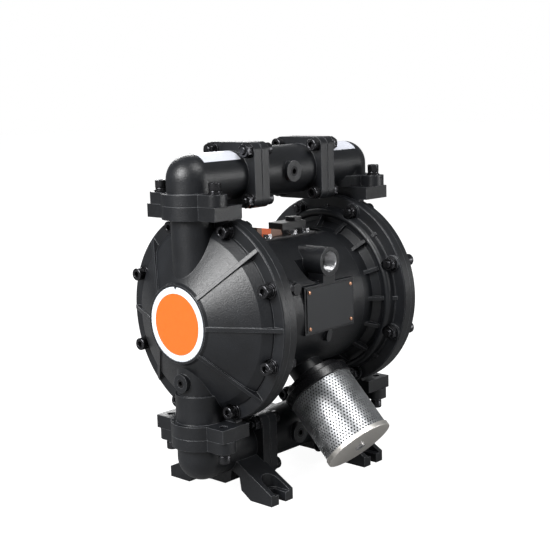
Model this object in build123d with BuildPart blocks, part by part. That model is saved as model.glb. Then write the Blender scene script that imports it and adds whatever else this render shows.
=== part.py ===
"""Air operated double diaphragm pump, metal castings, 1 inch liquid ports.

The rod runs along X, the air inlet and the muffler face -Y, the liquid ports face +Y.
The origin is on the floor, under the middle of the rod.  All sizes are in millimetres.
"""

from build123d import *
from math import cos, radians, sin, sqrt
import os

os.makedirs("parts", exist_ok=True)

# ---------------------------------------------------------------- driving dimensions
# centre body and chambers
body_half = 58.0  # half length of the centre drum
drum_inset = 33.0  # from the chamber's rim in to the drum
air_cap_depth = 39.0  # from the drum's end face to the diaphragm plane
air_flange = 10.0
fluid_flange = 8.3
dome_height = 38.9  # from the fluid cap's flange to the badge face
dome_mid = (24.5, 61.5)  # height and radius half way along the dome's outer curve
hollow_mid = (17.9, 58.4)  # the same of the curve inside
chamber_radius = 107.0
bead_inset = 19.0  # from the rim in to the diaphragm's clamped bead
bead_width = 5.0
screw_inset = 9.5  # from the rim in to the chamber screws
chamber_bolts = 8
first_bolt = 22.5  # degrees
hub_radius = 39.5
hub_lip = 2.0  # round the badge
badge_recess = 2.0
cap_wall = 6.0
dome_inset = 13.0  # from the rim in to where the dome leaves the flange
shoulder_inset = 21.0
shoulder_height = 9.7  # of the dome's shoulder above the flange face
rim_edge = 1.0  # broken edge of the rims
rib_width = 4.2
rib_angles = [45, 90, 135, 225, 270, 315]

# air caps
web_step = 7.0  # from the flange's back to the web
bead_round = 4.2  # half width of the rounded bead on the back
bead_height = 3.6
boss_rise = 2.0  # of the nuts' bosses
boss_margin = 0.6
rib_pitch = 22.5  # degrees
rib_count = 16
back_rib_width = 3.8
dish_thickness = 8.0
spigot_wall = 3.0  # outside the pilot rod

# columns that carry the liquid up and down at each end
column_offset = 20.8  # column axis outside the diaphragm plane
neck_radius = 21.6
housing_radius = 24.4  # ball housing at the foot of the lower column
housing_length = 42.0
column_clear = 8.7  # from the chamber's rim to a column joint
column_foot = 16.0  # from the column's axis to the flange's outer edge
column_screw_out = 5.0  # of the column's screws outside its axis
column_screw_inset = 10.0  # of the screws from the ends of the flange
web_height = 14.0  # of the webs between flange and rim
cap_plate = 13.5
elbow_plate = 11.6
bulge_radius = 30.0
ear_half = 48.0
ear_depth = 22.0
column_bore = 13.0
port_boss_radius = 9.3
port_boss_drop = 60.0
port_boss_rise = 3.6
drain_plug_length = 9.0
drain_socket = 2.6
socket_depth = 6.0

# manifolds
pipe_rise = 24.5  # from a column joint to the pipe axis
pipe_radius = 24.5
pipe_bore = 18.2
tee_radius = 26.0
joint_x = 51.0  # plane where an elbow meets its tee
joint_plate = 10.0
joint_half = 33.0
joint_corner = 9.0
joint_pitch = 50.0
gasket_thickness = 0.8
liquid_port_radius = 16.6  # G1 thread
liquid_port_depth = 20.0
port_step = 1.6  # the way behind the thread is this much smaller in radius
liquid_boss_radius = 24.0
liquid_boss_reach = 44.0
tee_plug_radius = 11.0
tee_plug_reach = 30.5
tee_plug_length = 10.5
tee_plug_socket = 3.0
ear_corner = 9.5
ear_margin = 1.0

# check valves
ball_radius = 15.875
ball_travel = 10.0
seat_outer = 21.2
seat_bore = 13.5
seat_height = 6.0
ball_chamber = 18.7
stop_radius = 4.0
stop_root = 2.0  # where the stop joins the elbow, inside its outer skin

# feet
foot_drop = 47.3  # from the lower pipe axis to the floor
foot_width = 32.0
foot_x = 75.0
front_reach = 70.0
back_reach = 79.0
foot_toe = 11.5
foot_root = 19.0
foot_root_drop = 7.5  # below the lower pipe axis
pad_length = 29.0
heel_length = 36.0
heel_height = 8.5
arch_height = 10.8
arch_half = 15.0
front_web = [(-5.0, 10.8), (-12.5, 15.6), (-14.5, 27.0), (-16.5, 27.0), (-25.8, 22.9), (-28.0, 8.5)]
slot_width = 10.0
slot_length = 14.0
slot_floor = 10.0
seat_pocket = 10.5

# diaphragms and rod
diaphragm_thickness = 3.5
plate_radius = 42.0
plate_thickness = 7.0
rod_radius = 9.0
rod_travel = 10.0
bush_wall = 3.0
bush_length = 16.0
pilot_radius = 3.5
pilot_offset = 27.0
pilot_ratio = 0.4
plate_gap = 0.6  # left between a plate and the pilot rod at the end of a stroke
plate_hub = [(3.0, 13.0), (7.0, 11.0)]  # rise and radius of the outer plate's hub
plate_rim = 1.5
plate_crown = 30.0  # radius where the outer plate starts to fall to its rim
plate_bore_floor = 1.0
stud_step = 3.0
convolution_sag = 5.0
convolution_depth = 8.2
bead_foot = 2.0  # from a clamped edge to where the diaphragm starts to bend
pilot_waist = 8.0  # half length of the pilot rod's middle groove
pilot_groove = 1.0
rod_clearance = 1.0  # of the bore between the bushes

# air side
platform_drop = 3.7  # of the valve's platform below the top of the drum
air_inlet_height = 49.5
inlet_boss_rise = 2.0
air_inlet_radius = 10.5  # G1/2 thread
air_inlet_depth = 16.0
air_boss_radius = 15.0
air_way_radius = 6.0
name_pad_rise = 0.6
pad_depth = 20.0  # that the pads reach into the drum
hollow_offset = (-13.0, 1.0)  # of the hollow beside the air inlet
hollow_radii = (15.5, 20.5)
hollow_depth = 22.0
inlet_rib_width = 18.0
lug_place = (1.0, -28.0)
lug_size = (13.0, 7.0)
lug_turn = 70.0
side_boss_place = (-47.0, 27.5)
side_boss_radius = 6.0
lug_drop = 2.0  # of the lug and the side boss behind the name plate's pad
name_width = 72.6
name_height = 44.5
name_centre = 3.3
name_thickness = 1.0
name_margin = 2.6
rivet_radius = 2.0
rivet_inset = 3.6
rivet_height = 1.2
rivet_round = 0.8
badge_thickness = 2.2
badge_round = 0.5

# air valve: the main spool is inside the drum, the pilot block on the top platform
spool_radius = 8.0
spool_travel = 6.0  # each way
spool_free = 1.0  # left at each end of its travel
spool_land = 10.0
spool_waist = 2.5
spool_plug = 9.0
spool_place = (26.0, 44.0)  # behind and above the rod
valve_length = 88.0
valve_depth = 42.0
valve_gasket = 0.5
valve_foot = 1.6
tower_x = 22.0
tower_y = 1.0
tower_length = 38.0
tower_depth = 20.0
tower_height = 11.8
knob_height = 4.0
cover_left = -36.0
cover_right = 2.5
cover_height = 11.5
cover_fall = 6.0
cover_depth = 12.0
knob_size = (13.0, 14.0)
knob_corner = 2.0
knob_inset = 9.0
tower_edge = 1.5
cover_slant = 2.0
cover_shoulder = 5.0
pilot_way = 2.5
pilot_way_offset = 16.0
valve_screw = 2.5  # M5
valve_screw_depth = 14.0
valve_screw_length = 12.0
valve_washer = 5.0
valve_washer_height = 1.0
valve_head_flats = 8.0
valve_head_height = 3.5
valve_screw_places = [(-28.0, -16.0), (11.0, -16.0), (31.0, -16.0), (-28.0, 16.0), (31.0, 16.0)]

# muffler, hung from the exhaust port at 45 degrees
exhaust_drop = 28.0  # where the muffler's axis crosses the pump's mid plane, below the rod
exhaust_rise = 12.7  # of the port's face above the drum
exhaust_boss_radius = 18.0
exhaust_boss_depth = 24.0
exhaust_way = 24.0
muffler_thread = 10.0
muffler_neck = 12.0
muffler_cap_height = 19.0
muffler_radius = 36.0
muffler_length = 69.5
muffler_end = 5.0
muffler_hex = 14.0
muffler_hex_height = 4.0
muffler_neck_height = 11.0
muffler_gap = 2.0
cap_overhang = 1.6
cap_inset = 5.0
end_overhang = 1.4
end_fold = 3.0
end_round = 0.8
bolt_head_over = 2.6
bolt_head_height = 2.0
bolt_socket = 2.2
screen_wall = 1.0
muffler_bolt = 3.0

# fasteners
screw_radius = 4.0  # M8
head_radius = 6.5
head_height = 8.0
nut_flats = 13.0
nut_height = 6.5
washer_radius = 8.0
washer_thickness = 1.6
spring_washer = 2.0
spring_washer_radius = 6.8

# clearances
fit = 0.05  # running fit, on the radius
free = 0.3  # between pieces that must not touch
hole_clearance = 0.4

# screws that hold the air caps on the drum, from inside the chambers
cap_screw_circle = 41.0
cap_screws = 4
cap_screw_thread = 18.0
cap_screw_turn = 45.0
cap_screw_head = 5.0
thread_past_nut = 2.5
joint_thread_past = 2.0

# ---------------------------------------------------------------- places that follow
body_radius = chamber_radius - drum_inset
bead_radius = chamber_radius - bead_inset  # outer edge of the diaphragm's clamped bead
chamber_bore = bead_radius - bead_width  # open radius of the chamber at the diaphragm
bolt_circle = chamber_radius - screw_inset
dome_foot = chamber_radius - dome_inset
shoulder_radius = chamber_radius - shoulder_inset
column_reach = chamber_radius + column_clear
top_platform = body_radius - platform_drop
air_inlet_face = body_radius + inlet_boss_rise
plate_face = body_radius + name_pad_rise
half_drop = exhaust_drop * sqrt(0.5)
exhaust_face = sqrt(body_radius**2 - half_drop**2) - half_drop + exhaust_rise
axis_height = foot_drop + pipe_rise + column_reach
parting_x = body_half + air_cap_depth
flange_x = parting_x + fluid_flange
hub_x = flange_x + dome_height
column_x = parting_x + column_offset
top_joint = axis_height + column_reach
low_joint = axis_height - column_reach
top_pipe = top_joint + pipe_rise
low_pipe = low_joint - pipe_rise
bolt_x = column_x + column_screw_out
bolt_y = ear_half - column_screw_inset
rod_axis = Axis((0, 0, axis_height), (1, 0, 0))
radial = Plane(origin=(0, 0, axis_height), x_dir=(1, 0, 0), z_dir=(0, -1, 0))
muffler_dir = Vector(0, -sqrt(0.5), -sqrt(0.5))
muffler_root = Vector(0, 0, axis_height - exhaust_drop)
sides = {"left": -1, "right": 1}


def save(part, name):
    """Label a finished piece and write it under its node name."""
    part.label = name
    export_step(part, "parts/" + name + ".step")


def radial_plane(angle):
    """Plane through the rod axis: local x is along the rod, local y points out at angle."""
    a = radians(angle)
    return Plane(origin=(0, 0, axis_height), x_dir=(1, 0, 0), z_dir=(0, -cos(a), sin(a)))


def end_plane(x):
    """Plane square to the rod at x, facing +X, centred on the rod."""
    return Plane(origin=(x, 0, axis_height), x_dir=(0, 1, 0), z_dir=(1, 0, 0))


def muffler_plane(distance):
    """Plane square to the muffler's axis at a distance along it."""
    return Plane(origin=muffler_root + muffler_dir * distance, x_dir=(1, 0, 0), z_dir=muffler_dir)


def front_plane(z, distance):
    """Upright plane in front of the drum at a distance from its axis, facing -Y."""
    return Plane(origin=(0, -distance, z), x_dir=(1, 0, 0), z_dir=(0, -1, 0))


def column_outline(side, inner_x):
    """Outline of a column's flange: a round bulge on the pipe and an ear to each side."""
    Circle(bulge_radius)
    outer_x = column_x + column_foot
    with Locations((side * ((outer_x + inner_x) / 2 - column_x), 0)):
        Rectangle(outer_x - inner_x, 2 * ear_half)


reach = joint_pitch / 2
nut_places = {
    "outlet": [(-reach, reach), (reach, reach), (-reach, -reach), (reach, -reach)],
    "inlet": [(-reach, reach), (reach, reach)],
}


def column_bolt_places():
    """Centres of the two screws of one column joint, from the column's axis."""
    return [(bolt_x - column_x, -bolt_y), (bolt_x - column_x, bolt_y)]


# ---------------------------------------------------------------- fluid caps
# The outer chamber shells.  A ribbed dome carries the badge; the columns above and below
# it lead to the manifolds, and the lower one is bored out for the inlet check ball.
ball_lift = sqrt(ball_radius**2 - seat_bore**2) + free
low_ball = low_joint + seat_height / 2 + ball_lift
top_ball = top_joint + seat_height / 2 + ball_lift
low_shoulder = low_ball + ball_travel + sqrt(ball_radius**2 - column_bore**2) + 3 * free

for name, side in sides.items():
    with BuildPart() as fluid_cap:
        with BuildSketch(radial):
            with BuildLine():
                Polyline(
                    (side * (hub_x - badge_recess), 0),
                    (side * (hub_x - badge_recess), hub_radius - hub_lip),
                    (side * hub_x, hub_radius - hub_lip),
                    (side * hub_x, hub_radius),
                    (side * (hub_x - 1.5 * hub_lip), hub_radius + hub_lip),
                )
                ThreePointArc(
                    (side * (hub_x - 1.5 * hub_lip), hub_radius + hub_lip),
                    (side * (flange_x + dome_mid[0]), dome_mid[1]),
                    (side * (flange_x + shoulder_height), shoulder_radius),
                )
                Polyline(
                    (side * (flange_x + shoulder_height), shoulder_radius),
                    (side * (flange_x + 2 * rim_edge), dome_foot - rim_edge / 2),
                    (side * flange_x, dome_foot),
                    (side * flange_x, chamber_radius - rim_edge),
                    (side * (flange_x - rim_edge), chamber_radius),
                    (side * parting_x, chamber_radius),
                    (side * parting_x, 0),
                    (side * (hub_x - badge_recess), 0),
                )
            make_face()
        revolve(axis=rod_axis)
        # neck to the outlet joint, and down to the ball housing
        with BuildSketch(Plane(origin=(side * column_x, 0, low_joint + cap_plate / 2))):
            Circle(neck_radius)
        extrude(amount=top_joint - low_joint - cap_plate)
        with BuildSketch(Plane(origin=(side * column_x, 0, low_joint + cap_plate / 2))):
            Circle(housing_radius)
        extrude(amount=housing_length - cap_plate / 2)
        # flanges at both ends of the column
        with BuildSketch(Plane(origin=(side * column_x, 0, low_joint))):
            column_outline(side, parting_x)
        extrude(amount=cap_plate)
        with BuildSketch(Plane(origin=(side * column_x, 0, top_joint - cap_plate))):
            column_outline(side, parting_x)
        extrude(amount=cap_plate)
        # webs that join each flange to the chamber's rim
        for z in (low_joint + cap_plate, top_joint - cap_plate):
            with BuildSketch(Plane(origin=(side * (parting_x + flange_x) / 2, 0, z))):
                Rectangle(flange_x - parting_x, 2 * (ear_half - column_screw_inset))
            extrude(amount=web_height if z < axis_height else -web_height)
        # the column's back is flat in the plane of the diaphragm
        split(bisect_by=end_plane(side * parting_x), keep=Keep.TOP if side > 0 else Keep.BOTTOM)
        # ribs over the dome
        for angle in rib_angles:
            with BuildSketch(radial_plane(angle)):
                with BuildLine():
                    Polyline(
                        (side * (flange_x - rim_edge), hub_radius - rim_edge),
                        (side * (hub_x - rim_edge / 2), hub_radius - rim_edge),
                        (side * (hub_x - rim_edge / 2), hub_radius + rim_edge),
                        (side * (flange_x + rim_edge), chamber_radius - 1.5 * rim_edge),
                        (side * (flange_x - rim_edge), chamber_radius - 1.5 * rim_edge),
                        close=True,
                    )
                make_face()
            extrude(amount=rib_width / 2, both=True)
        # boss of the drain plug on the lower neck
        with BuildSketch(end_plane(side * column_x)):
            with Locations((0, -port_boss_drop)):
                Circle(port_boss_radius)
        extrude(amount=side * (neck_radius + port_boss_rise))
        # chamber inside
        with BuildSketch(radial):
            with BuildLine():
                Polyline(
                    (side * (hub_x - badge_recess - cap_wall), 0),
                    (side * (hub_x - badge_recess - cap_wall), hub_radius - cap_wall),
                )
                ThreePointArc(
                    (side * (hub_x - badge_recess - cap_wall), hub_radius - cap_wall),
                    (side * (flange_x + hollow_mid[0]), hollow_mid[1]),
                    (side * (flange_x + hub_lip), chamber_bore - rim_edge),
                )
                Polyline(
                    (side * (flange_x + hub_lip), chamber_bore - rim_edge),
                    (side * parting_x, chamber_bore),
                    (side * parting_x, 0),
                    (side * (hub_x - badge_recess - cap_wall), 0),
                )
            make_face()
        revolve(axis=rod_axis, mode=Mode.SUBTRACT)
        # groove for the diaphragm's bead
        with BuildSketch(end_plane(side * parting_x)):
            Circle(bead_radius)
        extrude(amount=side * diaphragm_thickness / 2, mode=Mode.SUBTRACT)
        # liquid ways through the columns, with the recesses of the ball seats
        with BuildSketch(Plane(origin=(side * column_x, 0, axis_height))):
            Circle(column_bore)
        extrude(amount=column_reach, mode=Mode.SUBTRACT)
        with BuildSketch(Plane(origin=(side * column_x, 0, axis_height))):
            Circle(column_bore)
        extrude(amount=-column_reach, mode=Mode.SUBTRACT)
        with BuildSketch(Plane(origin=(side * column_x, 0, low_joint))):
            Circle(ball_chamber)
        extrude(amount=low_shoulder - low_joint, mode=Mode.SUBTRACT)
        for z in (low_joint, top_joint - seat_height / 2):
            with BuildSketch(Plane(origin=(side * column_x, 0, z))):
                Circle(seat_outer + fit)
            extrude(amount=seat_height / 2, mode=Mode.SUBTRACT)
        # screw holes, and the spot faces of their washers in the foot of the dome
        with BuildSketch(end_plane(side * parting_x)):
            with PolarLocations(bolt_circle, chamber_bolts, start_angle=first_bolt):
                Circle(screw_radius + hole_clearance)
        extrude(amount=side * 2 * fluid_flange, mode=Mode.SUBTRACT)
        with BuildSketch(end_plane(side * flange_x)):
            with PolarLocations(bolt_circle, chamber_bolts, start_angle=first_bolt):
                Circle(washer_radius + free)
        extrude(amount=side * dome_height, mode=Mode.SUBTRACT)
        for z in (low_joint, top_joint - cap_plate):
            with BuildSketch(Plane(origin=(side * column_x, 0, z))):
                with Locations(*[(side * x, y) for x, y in column_bolt_places()]):
                    Circle(screw_radius + hole_clearance / 2)
            extrude(amount=cap_plate, mode=Mode.SUBTRACT)
        # thread of the drain plug
        with BuildSketch(end_plane(side * column_x)):
            with Locations((0, -port_boss_drop)):
                Circle(port_boss_radius / 2)
        extrude(amount=side * 2 * neck_radius, mode=Mode.SUBTRACT)
    save(fluid_cap.part, "fluid_cap_" + name)

# ---------------------------------------------------------------- air caps
# The inner chamber shells: dished castings, ribbed on the back, bolted to the drum.
# A rounded bead runs round the back of the dish; the nuts sit on bosses of the flange.
back_x = parting_x - air_flange
web_x = back_x - web_step
bead_mid = bead_radius
web_radius = bead_mid - 2 * bead_round
dish_floor = body_half + dish_thickness
spigot_radius = pilot_offset + pilot_radius + spigot_wall
neck_edge = body_radius - rim_edge

for name, side in sides.items():
    with BuildPart() as air_cap:
        with BuildSketch(radial):
            with BuildLine():
                Polyline(
                    (side * body_half, spigot_radius + fit),
                    (side * body_half, neck_edge),
                    (side * (web_x - cap_wall), neck_edge),
                    (side * web_x, web_radius),
                    (side * web_x, bead_mid - bead_round),
                )
                ThreePointArc(
                    (side * web_x, bead_mid - bead_round),
                    (side * (web_x - bead_height), bead_mid),
                    (side * web_x, bead_mid + bead_round),
                )
                Polyline(
                    (side * web_x, bead_mid + bead_round),
                    (side * (back_x - rim_edge), bead_mid + bead_round + rim_edge),
                    (side * back_x, bead_mid + bead_round + 2 * rim_edge),
                    (side * back_x, chamber_radius - rim_edge),
                    (side * (back_x + rim_edge), chamber_radius),
                    (side * parting_x, chamber_radius),
                    (side * parting_x, chamber_bore),
                    (side * (parting_x - cap_wall), chamber_bore - rim_edge / 2),
                )
                ThreePointArc(
                    (side * (parting_x - cap_wall), chamber_bore - rim_edge / 2),
                    (side * (dish_floor + 1.5 * cap_wall), body_radius - cap_wall),
                    (side * dish_floor, plate_radius + cap_wall),
                )
                Polyline(
                    (side * dish_floor, plate_radius + cap_wall),
                    (side * dish_floor, spigot_radius + fit),
                    (side * body_half, spigot_radius + fit),
                )
            make_face()
        revolve(axis=rod_axis)
        # bosses under the nuts
        with BuildSketch(end_plane(side * back_x)):
            with PolarLocations(bolt_circle, chamber_bolts, start_angle=first_bolt):
                Circle(washer_radius + boss_margin)
        extrude(amount=-side * boss_rise)
        # long ribs to the flange, and short ones to the bosses between them
        for step in range(rib_count):
            rib_end = bolt_circle - rim_edge if step % 2 == 0 else bolt_circle - washer_radius
            with BuildSketch(radial_plane(step * rib_pitch)):
                with BuildLine():
                    Polyline(
                        (side * dish_floor, neck_edge - spigot_wall),
                        (side * dish_floor, neck_edge),
                        (side * (back_x - rim_edge / 2), rib_end),
                        (side * (back_x + rim_edge), rib_end),
                        (side * (back_x + rim_edge), bead_mid),
                        (side * (web_x + rim_edge), neck_edge - spigot_wall),
                        close=True,
                    )
                make_face()
            extrude(amount=back_rib_width / 2, both=True)
        # groove for the diaphragm's bead
        with BuildSketch(end_plane(side * parting_x)):
            Circle(bead_radius)
            Circle(chamber_bore - rim_edge, mode=Mode.SUBTRACT)
        extrude(amount=-side * diaphragm_thickness / 2, mode=Mode.SUBTRACT)
        # spot faces of the nuts
        with BuildSketch(end_plane(side * (back_x - boss_rise))):
            with PolarLocations(bolt_circle, chamber_bolts, start_angle=first_bolt):
                Circle(washer_radius)
        extrude(amount=-side * air_cap_depth / 2, mode=Mode.SUBTRACT)
        # screw holes: the flange's, and the ones that hold the cap on the drum
        with BuildSketch(end_plane(side * parting_x)):
            with PolarLocations(bolt_circle, chamber_bolts, start_angle=first_bolt):
                Circle(screw_radius + hole_clearance)
        extrude(amount=-side * 2 * air_flange, mode=Mode.SUBTRACT)
        with BuildSketch(end_plane(side * dish_floor)):
            with PolarLocations(cap_screw_circle, cap_screws, start_angle=cap_screw_turn):
                Circle(screw_radius + hole_clearance)
        extrude(amount=-side * (dish_floor - body_half), mode=Mode.SUBTRACT)
    save(air_cap.part, "air_cap_" + name)

# ---------------------------------------------------------------- centre body
# The drum between the air caps.  It carries the rod in its bushes, the air inlet and the
# name plate in front, the exhaust port below them and the air valve's platform on top.
pilot_z = axis_height + pilot_offset
name_z = axis_height + name_centre
inlet_z = axis_height + air_inlet_height

with BuildPart() as body:
    with BuildSketch(end_plane(-body_half)):
        Circle(body_radius)
    extrude(amount=2 * body_half)
    with BuildSketch(end_plane(-dish_floor)):
        Circle(spigot_radius)
    extrude(amount=2 * dish_floor)
    # flat platform for the air valve
    with BuildSketch(Plane.XY.offset(axis_height + top_platform)):
        Rectangle(2 * body_half, 2 * body_radius)
    extrude(amount=body_radius, mode=Mode.SUBTRACT)
    # hollow beside the air inlet
    with BuildSketch(front_plane(inlet_z, body_radius)):
        with Locations(hollow_offset):
            Ellipse(*hollow_radii)
    extrude(amount=-hollow_depth, mode=Mode.SUBTRACT)
    # air inlet boss, its neck, and the raised pad of the name plate
    with BuildSketch(front_plane(inlet_z, air_inlet_face)):
        Circle(air_boss_radius)
    extrude(amount=-2 * pad_depth)
    with BuildSketch(front_plane(name_z, plate_face)):
        Rectangle(name_width + 2 * name_margin, name_height + 2 * name_margin)
        with Locations((0, (inlet_z - name_z) / 2)):
            Rectangle(inlet_rib_width, inlet_z - name_z)
    extrude(amount=-pad_depth)
    # lug and round boss for the cross drillings
    with BuildSketch(front_plane(axis_height, plate_face - lug_drop)):
        with Locations(lug_place):
            SlotOverall(*lug_size, rotation=lug_turn)
        with Locations(side_boss_place):
            Circle(side_boss_radius)
    extrude(amount=-pad_depth)
    # exhaust port boss
    with BuildSketch(muffler_plane(exhaust_face - exhaust_boss_depth)):
        Circle(exhaust_boss_radius)
    extrude(amount=exhaust_boss_depth)
    # rod bore with its bushes
    with BuildSketch(end_plane(-dish_floor)):
        Circle(rod_radius + rod_clearance)
    extrude(amount=2 * dish_floor, mode=Mode.SUBTRACT)
    for x in (-dish_floor, dish_floor - bush_length):
        with BuildSketch(end_plane(x)):
            Circle(rod_radius + bush_wall)
        extrude(amount=bush_length, mode=Mode.SUBTRACT)
    # pilot rod bore, and the passages from it to the air valve
    with BuildSketch(end_plane(-dish_floor)):
        with Locations((0, pilot_offset)):
            Circle(pilot_radius + fit)
    extrude(amount=2 * dish_floor, mode=Mode.SUBTRACT)
    with BuildSketch(Plane.XY.offset(pilot_z)):
        with Locations((-pilot_way_offset, 0), (pilot_way_offset, 0)):
            Circle(pilot_way)
    extrude(amount=top_platform, mode=Mode.SUBTRACT)
    # bore of the main spool
    with BuildSketch(end_plane(-body_half)):
        with Locations(spool_place):
            Circle(spool_radius + fit)
    extrude(amount=2 * body_half, mode=Mode.SUBTRACT)
    # threads of the valve's screws
    with BuildSketch(Plane.XY.offset(axis_height + top_platform)):
        with Locations(*valve_screw_places):
            Circle(valve_screw + fit)
    extrude(amount=-valve_screw_depth, mode=Mode.SUBTRACT)
    # threads of the air inlet and of the exhaust port, and the air's way in to the spool
    with BuildSketch(front_plane(inlet_z, air_inlet_face)):
        Circle(air_inlet_radius)
    extrude(amount=-air_inlet_depth, mode=Mode.SUBTRACT)
    with BuildSketch(front_plane(inlet_z, air_inlet_face - air_inlet_depth)):
        Circle(air_way_radius)
    extrude(amount=-2 * pad_depth, mode=Mode.SUBTRACT)
    with BuildSketch(muffler_plane(exhaust_face)):
        Circle(muffler_thread)
    extrude(amount=-exhaust_way, mode=Mode.SUBTRACT)
    # threads of the screws that hold the air caps
    for x in (-body_half, body_half - cap_screw_thread):
        with BuildSketch(end_plane(x)):
            with PolarLocations(cap_screw_circle, cap_screws, start_angle=cap_screw_turn):
                Circle(screw_radius)
        extrude(amount=cap_screw_thread, mode=Mode.SUBTRACT)
save(body.part, "center_body")

# ---------------------------------------------------------------- diaphragms, plates and rod
# Each diaphragm's bead is clamped between its two caps.  Its middle is clamped between an
# inner and an outer plate on the end of the rod, which runs in two bushes in the drum.
half_web = diaphragm_thickness / 2
plate_back = parting_x - half_web - plate_thickness
plate_front = parting_x + half_web + plate_thickness
stud_radius = rod_radius - stud_step
pilot_half = plate_back - rod_travel + pilot_ratio * rod_travel - plate_gap

for name, side in sides.items():
    with BuildPart() as diaphragm:
        with BuildSketch(radial):
            with BuildLine():
                Polyline(
                    (side * (parting_x - half_web), plate_radius + bead_foot),
                    (side * (parting_x - half_web), rod_radius + free),
                    (side * (parting_x + half_web), rod_radius + free),
                    (side * (parting_x + half_web), plate_radius + bead_foot),
                )
                ThreePointArc(
                    (side * (parting_x + half_web), plate_radius + bead_foot),
                    (side * (parting_x - convolution_sag), (plate_radius + chamber_bore) / 2),
                    (side * (parting_x + half_web), chamber_bore - bead_foot),
                )
                Polyline(
                    (side * (parting_x + half_web), chamber_bore - bead_foot),
                    (side * (parting_x + half_web), bead_radius - fit),
                    (side * (parting_x - half_web), bead_radius - fit),
                    (side * (parting_x - half_web), chamber_bore - bead_foot),
                )
                ThreePointArc(
                    (side * (parting_x - half_web), chamber_bore - bead_foot),
                    (side * (parting_x - convolution_depth), (plate_radius + chamber_bore) / 2),
                    (side * (parting_x - half_web), plate_radius + bead_foot),
                )
            make_face()
        revolve(axis=rod_axis)
    save(diaphragm.part, "diaphragm_" + name)

    with BuildPart() as inner_plate:
        with BuildSketch(end_plane(side * plate_back)):
            Circle(plate_radius)
            Circle(stud_radius + fit, mode=Mode.SUBTRACT)
        extrude(amount=side * plate_thickness)
        rim = inner_plate.edges().filter_by(GeomType.CIRCLE).sort_by(SortBy.RADIUS)[-2:]
        fillet(rim.sort_by(Axis.X)[0 if side > 0 else -1], plate_thickness - rim_edge)
    save(inner_plate.part, "inner_plate_" + name)

    with BuildPart() as outer_plate:
        with BuildSketch(radial):
            with BuildLine():
                Polyline(
                    (side * (parting_x + half_web), stud_radius + fit),
                    (side * (parting_x + half_web), plate_radius),
                    (side * (parting_x + half_web + plate_rim), plate_radius),
                )
                ThreePointArc(
                    (side * (parting_x + half_web + plate_rim), plate_radius),
                    (side * (plate_front + rim_edge / 2), plate_crown),
                    (side * (plate_front + plate_hub[0][0]), plate_hub[0][1]),
                )
                Polyline(
                    (side * (plate_front + plate_hub[0][0]), plate_hub[0][1]),
                    (side * (plate_front + plate_hub[1][0]), plate_hub[1][1]),
                    (side * (plate_front + plate_hub[1][0]), 0),
                    (side * (plate_front + plate_bore_floor), 0),
                    (side * (plate_front + plate_bore_floor), stud_radius + fit),
                    (side * (parting_x + half_web), stud_radius + fit),
                )
            make_face()
        revolve(axis=rod_axis)
    save(outer_plate.part, "outer_plate_" + name)

with BuildPart() as rod:
    with BuildSketch(end_plane(-plate_back)):
        Circle(rod_radius)
    extrude(amount=2 * plate_back)
    with BuildSketch(end_plane(-plate_front)):
        Circle(stud_radius)
    extrude(amount=2 * plate_front)
save(rod.part, "diaphragm_rod")

with BuildPart() as bushes:
    for x in (-dish_floor, dish_floor - bush_length):
        with BuildSketch(end_plane(x)):
            Circle(rod_radius + bush_wall)
            Circle(rod_radius + fit, mode=Mode.SUBTRACT)
        extrude(amount=bush_length)
save(bushes.part, "rod_bushes")

with BuildPart() as pilot:
    with BuildSketch(end_plane(-pilot_half)):
        with Locations((0, pilot_offset)):
            Circle(pilot_radius)
    extrude(amount=2 * pilot_half)
    with BuildSketch(end_plane(-pilot_waist)):
        with Locations((0, pilot_offset)):
            Circle(pilot_radius + pilot_groove)
            Circle(pilot_radius - pilot_groove, mode=Mode.SUBTRACT)
    extrude(amount=2 * pilot_waist, mode=Mode.SUBTRACT)
save(pilot.part, "pilot_rod")

with BuildPart() as cap_screws_inside:
    for side in (-1, 1):
        with BuildSketch(end_plane(side * dish_floor)):
            with PolarLocations(cap_screw_circle, cap_screws, start_angle=cap_screw_turn):
                Circle(head_radius)
        extrude(amount=side * cap_screw_head)
        with BuildSketch(end_plane(side * dish_floor)):
            with PolarLocations(cap_screw_circle, cap_screws, start_angle=cap_screw_turn):
                Circle(screw_radius - fit)
        extrude(amount=-side * (dish_thickness + cap_screw_thread - stud_step))
save(cap_screws_inside.part, "air_cap_screws")

# ---------------------------------------------------------------- main spool, inside the drum
# The spool shuttles along X in a bore above and behind the rod; a plug closes each end.
spool_length = 2 * (body_half - spool_plug - spool_travel - spool_free)
with BuildPart() as spool:
    with BuildSketch(end_plane(-spool_length / 2)):
        with Locations(spool_place):
            Circle(spool_radius - spool_waist)
    extrude(amount=spool_length)
    for x in (-spool_length / 2, -spool_land / 2, spool_length / 2 - spool_land):
        with BuildSketch(end_plane(x)):
            with Locations(spool_place):
                Circle(spool_radius)
        extrude(amount=spool_land)
save(spool.part, "valve_spool")

with BuildPart() as spool_plugs:
    for x in (-body_half, body_half - spool_plug):
        with BuildSketch(end_plane(x)):
            with Locations(spool_place):
                Circle(spool_radius + fit)
        extrude(amount=spool_plug)
save(spool_plugs.part, "spool_bore_plugs")

# ---------------------------------------------------------------- check valves
# A ball rests on a ring in each of the four column joints: the rings sit half in the
# fluid cap and half in the elbow, and every ball lifts upwards off its ring.
joints = {
    "inlet": (low_joint, low_ball),
    "outlet": (top_joint, top_ball),
}
for way, (z_joint, z_ball) in joints.items():
    for name, side in sides.items():
        with BuildPart() as seat:
            with BuildSketch(Plane(origin=(side * column_x, 0, z_joint - seat_height / 2))):
                Circle(seat_outer)
                Circle(seat_bore, mode=Mode.SUBTRACT)
            extrude(amount=seat_height)
        save(seat.part, way + "_ball_seat_" + name)
        with BuildPart() as ball:
            with Locations((side * column_x, 0, z_ball)):
                Sphere(ball_radius)
        save(ball.part, way + "_ball_" + name)


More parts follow.
